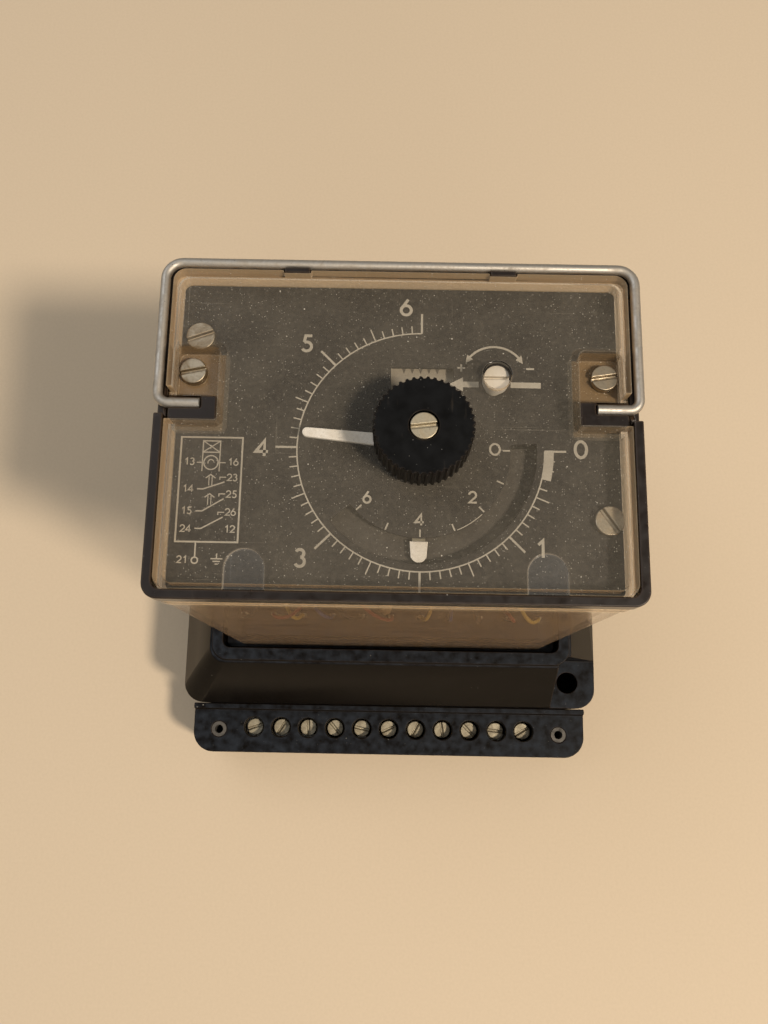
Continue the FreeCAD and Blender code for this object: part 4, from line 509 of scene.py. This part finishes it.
BEVELS = {
    "socket_body": 0.35,
    "terminal_strip_front": 0.45,
    "terminal_strip_rear": 0.45,
    "relay_base": 0.3,
    "rim_frame": 0.35,
    "clear_cover": 0.25,
    "scale_plate": 0.12,
    "terminal_screws": 0.3,
    "cover_screws": 0.28,
    "plate_screws": 0.28,
    "knob_screw": 0.25,
    "clamp_plates": 0.15,
    "clutch_yoke": 0.3,
    "selector_spindle": 0.2,
    "set_pointer": 0.15,
    "indicator_flag": 0.1,
    "knob": 0.12,
}
NODE_FINISH = {
    "rim_frame": "frame",
    "knob": "knob",
    "strip_rivets": "dark_rivet",
    "terminal_screws": "well_nickel",
    "cover_screws": "dull_nickel",
    "plate_screws": "dull_nickel",
    # the range wheel's finish is darkened to paint its shade
    "range_wheel": "range_disc",
    "indicator_arm": "tinned_brass",
}


WELD_GAP = 2e-6
FLAT_WITHIN, BEVEL_FROM = math.radians(0.6), math.radians(38)


def dress_nodes(materials):
    """Rounds the CAD nodes' edges and gives each its material."""
    slots = {part["node"]: part["material_slot"] for part in frame["record"]["subparts"]}
    for name, obj in nodes.items():
        finish = materials[NODE_FINISH.get(name, slots[name])]
        if not obj.material_slots:
            obj.data.materials.append(finish)
        for slot in obj.material_slots:
            slot.material = finish
        if name not in BEVELS:
            continue
        if "custom_normal" in obj.data.attributes:
            obj.data.attributes.remove(obj.data.attributes["custom_normal"])
        for polygon in obj.data.polygons:
            polygon.use_smooth = True
        weld = obj.modifiers.new("weld", "WELD")
        weld.merge_threshold = WELD_GAP
        flat = obj.modifiers.new("flat", "DECIMATE")
        flat.decimate_type = "DISSOLVE"
        flat.angle_limit = FLAT_WITHIN
        bevel = obj.modifiers.new("rounding", "BEVEL")
        bevel.width = BEVELS[name] * MM
        bevel.segments = 3
        bevel.limit_method = "ANGLE"
        bevel.angle_limit = BEVEL_FROM
        bevel.use_clamp_overlap = False
        bevel.loop_slide = False
        bevel.harden_normals = True
        bevel.miter_outer = "MITER_ARC"


# ---------------------------------------------------------------- meshes


def piece(name, verts, faces, body, finish, smooth=False):
    """A mesh from points in millimetres, riding on body."""
    mesh = bpy.data.meshes.new(name)
    mesh.from_pydata([tuple(c * MM for c in v) for v in verts], [], faces)
    mesh.validate()
    mesh.update()
    for polygon in mesh.polygons:
        polygon.use_smooth = smooth
    mesh.materials.append(finish)
    obj = bpy.data.objects.new(name, mesh)
    bpy.context.scene.collection.objects.link(obj)
    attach(obj, body)
    return obj


INK_SUNK, INK_THICK, INK_STEP, INK_LEVELS = 0.02, 0.04, 0.004, 7
SHARPEST_MITRE = 0.45


class Ink:
    """Printed lines and shapes, each a raised film of ink on a plane."""

    def __init__(self, z):
        """z is the plane's height in millimetres."""
        self.low, self.high = z - INK_SUNK, z + INK_THICK
        self.verts, self.faces = [], []
        self.level = 0

    def top(self):
        """The next stroke's height, so that strokes that cross don't share a plane."""
        height = self.high + INK_STEP * self.level
        self.level = self.level % INK_LEVELS + 1
        return height

    def strip(self, left, right, closed):
        """A band between two rows of points."""
        first, high = len(self.verts), self.top()
        for a, b in zip(left, right):
            self.verts += [(*a, high), (*b, high), (*b, self.low), (*a, self.low)]
        count = len(left)
        for i in range(count if closed else count - 1):
            p, q = first + 4 * i, first + 4 * ((i + 1) % count)
            for k in range(4):
                j = (k + 1) % 4
                self.faces.append((p + k, p + j, q + j, q + k))
        if not closed:
            last = first + 4 * (count - 1)
            self.faces.append((first + 3, first + 2, first + 1, first))
            self.faces.append((last, last + 1, last + 2, last + 3))

    def line(self, points, width, closed=False):
        """A stroke of constant width through points."""
        pts = [Vector((p[0], p[1])) for p in points]
        count = len(pts)
        left, right = [], []
        for i, p in enumerate(pts):
            before = pts[i - 1] if (i or closed) else None
            after = pts[(i + 1) % count] if (i < count - 1 or closed) else None
            a = (p - before).normalized() if before is not None else (after - p).normalized()
            b = (after - p).normalized() if after is not None else a
            bisector = (a + b).normalized() if (a + b).length > 1e-6 else a
            normal = Vector((-bisector.y, bisector.x))
            spread = width / 2 / max(SHARPEST_MITRE, normal.dot(Vector((-a.y, a.x))))
            left.append(tuple(p + normal * spread))
            right.append(tuple(p - normal * spread))
        self.strip(left, right, closed)

    def arc(self, x, y, radius, start, end, width, squeeze=1.0):
        """A stroke along a circle, narrowed across by squeeze."""
        count = max(8, int(abs(end - start) / 4))
        closed = abs(abs(end - start) - 360) < 1e-6
        steps = range(count if closed else count + 1)
        turns = [math.radians(start + (end - start) * i / count) for i in steps]
        self.line(
            [(x + radius * squeeze * math.cos(t), y + radius * math.sin(t)) for t in turns],
            width,
            closed,
        )

    def shape(self, points):
        """A filled convex outline, turned so that its face looks up."""
        if sum(p[0] * q[1] - q[0] * p[1] for p, q in zip(points, points[1:] + points[:1])) < 0:
            points = points[::-1]
        first, count, high = len(self.verts), len(points), self.top()
        self.verts += [(x, y, high) for x, y in points] + [(x, y, self.low) for x, y in points]
        self.faces.append(tuple(range(first, first + count)))
        self.faces.append(tuple(reversed(range(first + count, first + 2 * count))))
        for i in range(count):
            j = (i + 1) % count
            self.faces.append((first + j, first + i, first + count + i, first + count + j))

    def digit(self, figure, x, y, height, weight=0.165):
        """A numeral centred on x, y."""
        strokes, width = DIGITS[figure]

        def placed(px, py):
            return x + (px - width / 2) * height, y + (py - 0.5) * height

        for stroke in strokes:
            if stroke[0] == "arc":
                _, cx, cy, r, start, end, squeeze = stroke
                self.arc(*placed(cx, cy), r * height, start, end, weight * height, squeeze)
            else:
                self.line([placed(*point) for point in stroke], weight * height)


# Each numeral: its strokes in a box one high, as arcs (centre, radius, start, end, squeeze) or
# as rows of points, and the box's width.
DIGITS = {
    "0": ((("arc", 0.40, 0.5, 0.45, 0, 360, 0.68),), 0.8),
    "round 0": ((("arc", 0.40, 0.5, 0.45, 0, 360, 0.86),), 0.8),
    "1": ((((0.02, 0.70), (0.26, 0.93), (0.26, 0.02)),), 0.34),
    "2": (
        (("arc", 0.33, 0.66, 0.275, 170, -38, 1.0), ((0.55, 0.50), (0.08, 0.07), (0.66, 0.07))),
        0.68,
    ),
    "3": (
        (("arc", 0.28, 0.72, 0.21, 155, -80, 1.0), ("arc", 0.28, 0.28, 0.25, 80, -155, 1.0)),
        0.6,
    ),
    "4": ((((0.52, 0.02), (0.52, 0.90), (0.06, 0.27), (0.72, 0.27)),), 0.72),
    "5": (
        (((0.58, 0.93), (0.22, 0.93), (0.15, 0.56)), ("arc", 0.29, 0.30, 0.265, 122, -150, 1.0)),
        0.6,
    ),
    "6": ((("arc", 0.33, 0.32, 0.28, 0, 360, 1.0), ((0.10, 0.47), (0.44, 0.97))), 0.66),
}


def lathe(name, profile, centre, body, finish, turns):
    """A closed profile of (radius, z) points turned about a vertical axis."""
    verts, faces = [], []
    count = len(profile)
    for i in range(turns):
        t = 2 * math.pi * i / turns
        verts += [(centre[0] + r * math.cos(t), centre[1] + r * math.sin(t), z) for r, z in profile]
    for i in range(turns):
        j = (i + 1) % turns
        for k in range(count):
            n = (k + 1) % count
            faces.append((i * count + k, j * count + k, j * count + n, i * count + n))
    return piece(name, verts, faces, body, finish, True)


def tube(name, points, radius, body, finish, resolution=6):
    """A round wire along a smooth curve, as a mesh."""
    curve = bpy.data.curves.new(name + "_path", "CURVE")
    curve.dimensions = "3D"
    curve.bevel_depth = radius * MM
    curve.bevel_resolution = 3
    curve.use_fill_caps = True
    spline = curve.splines.new("NURBS")
    spline.points.add(len(points) - 1)
    for target, point in zip(spline.points, points):
        target.co = (*(c * MM for c in point), 1.0)
    spline.order_u = 4
    spline.use_endpoint_u = True
    spline.resolution_u = resolution
    holder = bpy.data.objects.new(name + "_path", curve)
    bpy.context.scene.collection.objects.link(holder)
    bpy.context.view_layer.update()
    graph = bpy.context.evaluated_depsgraph_get()
    mesh = bpy.data.meshes.new_from_object(holder.evaluated_get(graph))
    bpy.data.objects.remove(holder)
    mesh.name = name
    mesh.materials.clear()
    mesh.materials.append(finish)
    for polygon in mesh.polygons:
        polygon.use_smooth = True
    obj = bpy.data.objects.new(name, mesh)
    bpy.context.scene.collection.objects.link(obj)
    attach(obj, body)
    return obj


def helix(name, x, y, low, high, radius, wire, turns, body, slot, finish):
    """A coil spring about a vertical axis."""
    count = int(turns * 10)
    points = []
    for i in range(count + 1):
        t = 2 * math.pi * turns * i / count
        z = low + (high - low) * i / count
        points.append((x + radius * math.cos(t), y + radius * math.sin(t), z))
    return tube(name, points, wire, body, finish, 3)


# ---------------------------------------------------------------- printed dial


DIAL = middle("knob").xy
PLATE_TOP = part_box("scale_plate")[1].z / MM
RING = 28.7
SCALE_STEPS, SCALE_SWEEP = 60, 270
BAR_START, BAR_SWEEP, BAR_WIDTH = 0.4, 13.0, 2.1
INNER_LOW, INNER_HIGH, INNER_STEP = 19.0, 20.7, 22.5
SETTING_NUMERALS = (
    ("0", 42.5, -2.4),
    ("1", 32.9, -25.9),
    ("3", -21.6, -28.9),
    ("4", -31.5, -3.2),
    ("5", -21.9, 22.8),
    ("6", 1.6, 32.4),
)
SETTING_HEIGHT, ELAPSED_HEIGHT = 4.3, 2.9
ELAPSED_NUMERALS = (
    ("round 0", 22.6, -2.7),
    ("2", 17.4, -14.2),
    ("4", 5.2, -19.6),
    ("6", -6.8, -14.6),
)


def polar(radius, angle, centre=DIAL):
    """The point at radius and angle in degrees from centre."""
    t = math.radians(angle)
    return centre[0] + radius * math.cos(t), centre[1] + radius * math.sin(t)


def print_scale(ink):
    """The setting scale, 0 to 6 clockwise, and the elapsed-time scale inside it."""
    ink.arc(*DIAL, RING, 0, -SCALE_SWEEP, 0.32)
    for i in range(SCALE_STEPS + 1):
        angle = -SCALE_SWEEP / SCALE_STEPS * i
        unit, half = i % 10 == 0, i % 5 == 0
        length = 5.0 if unit else 3.2 if half else 1.9
        width = 0.5 if unit else 0.3
        # beside the thick bar a tick only shows past its outer edge
        start = RING + 1.9 if 0 < i < 4 else RING
        end = start + 0.5 if 0 < i < 3 else RING + length
        ink.line([polar(start, angle), polar(end, angle)], width)
    count = 12
    angles = [-BAR_START - BAR_SWEEP * i / count for i in range(count + 1)]
    inner = [polar(RING, angle) for angle in angles]
    outer = [polar(RING + BAR_WIDTH, angle) for angle in angles]
    ink.strip(outer, inner, False)
    for figure, x, y in SETTING_NUMERALS:
        ink.digit(figure, x, y, SETTING_HEIGHT)
    for figure, x, y in ELAPSED_NUMERALS:
        ink.digit(figure, x, y, ELAPSED_HEIGHT)
    for i in range(7):
        angle = -INNER_STEP * i
        ink.line([polar(INNER_LOW, angle), polar(INNER_HIGH, angle)], 0.36)
    ink.arc(*DIAL, INNER_HIGH + 0.05, -47, -66, 0.2)


def print_selector(ink):
    """The arrow to the range window and the plus-to-minus arc over the selector."""
    y = 13.1
    ink.line([(33.5, y), (26.4, y)], 1.4)
    ink.line([(18.9, y), (15.0, y)], 1.4)
    ink.shape([(15.2, y - 1.75), (15.2, y + 1.75), (11.9, y)])
    x0, y0, r = 22.6, 15.0, 7.6
    ink.arc(x0, y0, r, 38, 142, 0.5)
    for angle, lean in ((38, -1), (142, 1)):
        tip = polar(r, angle + 11 * lean, (x0, y0))
        base = [polar(r + side, angle - 3 * lean, (x0, y0)) for side in (-0.9, 0.9)]
        ink.shape([tip, *base])
    ink.line([(13.9, 17.2), (15.7, 17.2)], 0.45)
    ink.line([(14.8, 16.3), (14.8, 18.1)], 0.45)
    ink.line([(30.1, 17.2), (32.0, 17.2)], 0.45)


def print_diagram(ink):
    """Generic wiring diagram: coil, motor, three contacts and an earth terminal."""
    left, right, top, bottom = -50.1, -35.9, -1.0, -25.7

    def at(across, down):
        """A point by its share of the diagram's frame."""
        return left + (right - left) * across, top + (bottom - top) * down

    ink.line([at(0, 0), at(1, 0), at(1, 1), at(0, 1)], 0.4, True)
    for a, b in (((0.36, 0.035), (0.64, 0.145)), ((0.64, 0.035), (0.36, 0.145))):
        ink.line([at(*a), at(*b)], 0.24)
    ink.line([at(0.36, 0.035), at(0.64, 0.035), at(0.64, 0.145), at(0.36, 0.145)], 0.28, True)
    ink.line([at(0.36, 0.145), at(0.36, 0.33)], 0.24)
    ink.line([at(0.64, 0.145), at(0.64, 0.33)], 0.24)
    ink.arc(*at(0.5, 0.245), 1.65, 0, 360, 0.28)
    ink.arc(*at(0.5, 0.245), 0.7, 200, 20, 0.22)
    ink.line([at(0.27, 0.245), at(0.36, 0.245)], 0.24)
    ink.line([at(0.64, 0.245), at(0.74, 0.245)], 0.24)
    for left_y, right_y, arrow in ((0.5, 0.43, True), (0.71, 0.59, True), (0.875, 0.765, False)):
        ink.line([at(0.30, left_y), at(0.40, left_y), at(0.74, right_y)], 0.3)
        stop = right_y - 0.045
        ink.line([at(0.66, right_y - 0.02), at(0.66, stop), at(0.76, stop)], 0.24)
        if arrow:
            x = 0.51
            y = (left_y + right_y) / 2
            for shift in (-0.025, 0.025):
                ink.line([at(x + shift, y), at(x + shift, y - 0.085)], 0.2)
            ink.line([at(x - 0.08, y - 0.07), at(x, y - 0.105), at(x + 0.08, y - 0.07)], 0.26)
    pairs = ((0.15, 0.235, "13"), (0.15, 0.495, "14"), (0.15, 0.705, "15"), (0.15, 0.875, "24"))
    pairs += ((0.86, 0.235, "16"), (0.86, 0.385, "23"), (0.86, 0.545, "25"), (0.86, 0.715, "26"))
    pairs += ((0.86, 0.875, "12"), (0.13, 1.165, "21"))
    for across, down, number in pairs:
        x, y = at(across, down)
        for shift, figure in zip((-0.65, 0.65), number):
            ink.digit(figure, x + shift, y, 1.75, 0.15)
    ink.line([at(0.33, 1.0), at(0.33, 1.14)], 0.34)
    ink.arc(*at(0.33, 1.172), 0.7, 0, 360, 0.34)
    x, y = at(0.68, 1.155)
    ink.line([(x, y + 1.2), (x, y)], 0.28)
    for drop, half in ((0.0, 1.35), (0.6, 0.85), (1.2, 0.35)):
        ink.line([(x - half, y - drop), (x + half, y - drop)], 0.28)


def make_print(materials):
    """The dial's white print and the dark marks on the range disc."""
    ink = Ink(PLATE_TOP)
    print_scale(ink)
    print_selector(ink)
    print_diagram(ink)
    piece("dial_print", ink.verts, ink.faces, "relay", materials["print"])
    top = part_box("range_wheel")[1].z / MM
    marks = Ink(top)
    for i in range(5):
        x = 1.3 + 2.0 * i
        marks.shape([(x - 0.75, 18.6), (x, 16.6), (x + 0.75, 18.6)])
    finish = materials["range_mark"]
    piece("range_marks", marks.verts, marks.faces, "range_dial", finish)


# ---------------------------------------------------------------- inside the cover


def scalloped_coil(name, node, outer, inner, wire, body, finish):
    """A layer-wound coil: the outer side shows each turn of wire."""
    low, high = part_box(node)
    centre = ((low + high) / 2 / MM).xy
    bottom, top = low.z / MM + 0.05, high.z / MM - 0.05
    turns = int((top - bottom) / wire)
    pitch = (top - bottom) / turns
    profile = [(inner, bottom), (inner, top)]
    for i in range(turns - 1, -1, -1):
        for k in (0.98, 0.75, 0.5, 0.25, 0.02):
            bulge = math.sqrt(max(0.0, 1 - (2 * k - 1) ** 2)) * pitch / 2
            profile.append((outer - pitch / 2 + bulge, bottom + (i + k) * pitch))
    coil = lathe(name, profile[::-1], centre, body, finish, 72)
    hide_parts(node)


LEAD_COLOURS = ("wire_black", "wire_red", "wire_yellow", "wire_blue")
LEAD_RADIUS = 0.62
BLADES, BLADE_PITCH = 11, 10
BLADE_ROW_Y, TAG_Z = 30.0, 63.5
FRONT_PLANE_Y, FRONT_GOAL_Z = -21.4, 68
POST_X, LEAD_TOP_Z = 43.5, 137.6


def tag_x(i):
    """The X of blade i's tag in either row."""
    return BLADE_PITCH * (i - BLADES // 2)


def front_leads(materials):
    """From the front blades' tags to the motor, the contact stacks and the clutch."""
    motor = middle("motor_can")
    clutch = middle("clutch_coil")
    goals = [
        (motor.x - 8, motor.y - 17.5, 119),
        (motor.x + 8, motor.y - 17.5, 119),
    ]
    stacks = (-35.5, -28.0, -19.5, -13.5, 13.0, 20.5, 27.5, 34.5)
    goals += [(x, FRONT_PLANE_Y, FRONT_GOAL_Z) for x in stacks]
    goals.append((clutch.x + 11.0, clutch.y - 9, 66))
    for i, goal in enumerate(goals):
        start = (tag_x(i), -BLADE_ROW_Y, TAG_Z)
        lift = 72 + rng.uniform(0, 14)
        drift = rng.uniform(-1.5, 1.5)
        middle_point = ((start[0] + goal[0]) / 2 + drift, -32.6 + rng.uniform(0, 1.2), lift)
        far = (goal[0] + drift, goal[1] - 4.5, goal[2] + rng.uniform(1, 5))
        rise = (start[0], -30.2, 69.0)
        bend = (start[0] + drift, -32.4, 70.5)
        path = [start, rise, bend, middle_point, far, goal]
        finish = materials[LEAD_COLOURS[i % 4]]
        tube(f"lead_front_{i + 1}", path, LEAD_RADIUS, "relay", finish)


def rear_leads(materials):
    """From the rear blades' tags up the chassis posts to the lower movement plate."""
    for i in range(BLADES):
        start = (tag_x(i), BLADE_ROW_Y, TAG_Z)
        gather_x = POST_X if i > 5 else -POST_X if i < 5 else 38
        lift = 76 + 2.0 * (5 - abs(i - 5))
        inward = math.copysign(3 + 0.8 * (i % 3), gather_x)
        end = (gather_x - inward, 33.5 - 0.9 * (i % 3), LEAD_TOP_Z)
        path = [
            start,
            (start[0], 30.4, 68.5),
            (start[0] + 0.6, 33.0, 71.0),
            ((start[0] + end[0]) / 2, 34.0 - 0.5 * (i % 3), lift),
            (end[0], 33.8 - 0.9 * (i % 3), lift + 14),
            (end[0], end[1], 120),
            end,
        ]
        finish = materials[LEAD_COLOURS[(i + 2) % 4]]
        tube(f"lead_rear_{i + 1}", path, LEAD_RADIUS, "relay", finish)


def springs_and_coils(materials):
    """The armature's and the trip shaft's return springs, and the two wound coils."""
    bronze, copper = materials["phosphor_bronze"], materials["copper_winding"]
    pin = middle("armature_pin")
    place = (pin.x + 3.0, pin.y, 78, 99)
    helix("armature_spring", *place, 1.3, 0.22, 14, "relay", "phosphor_bronze", bronze)
    place = (*pivot("trip_swing").xy, 122, 132)
    helix("trip_spring", *place, 2.6, 0.25, 8, "relay", "phosphor_bronze", bronze)
    scalloped_coil("clutch_winding", "clutch_coil", 12.4, 5.6, 0.6, "relay", copper)
    scalloped_coil("motor_winding", "motor_coil", 19.0, 12.0, 0.6, "relay", copper)


# ---------------------------------------------------------------- build


make_camera()
make_stage()
MATERIALS = make_materials()
dress_nodes(MATERIALS)
make_print(MATERIALS)
front_leads(MATERIALS)
rear_leads(MATERIALS)
springs_and_coils(MATERIALS)
bpy.context.scene.view_settings.view_transform = "Standard"
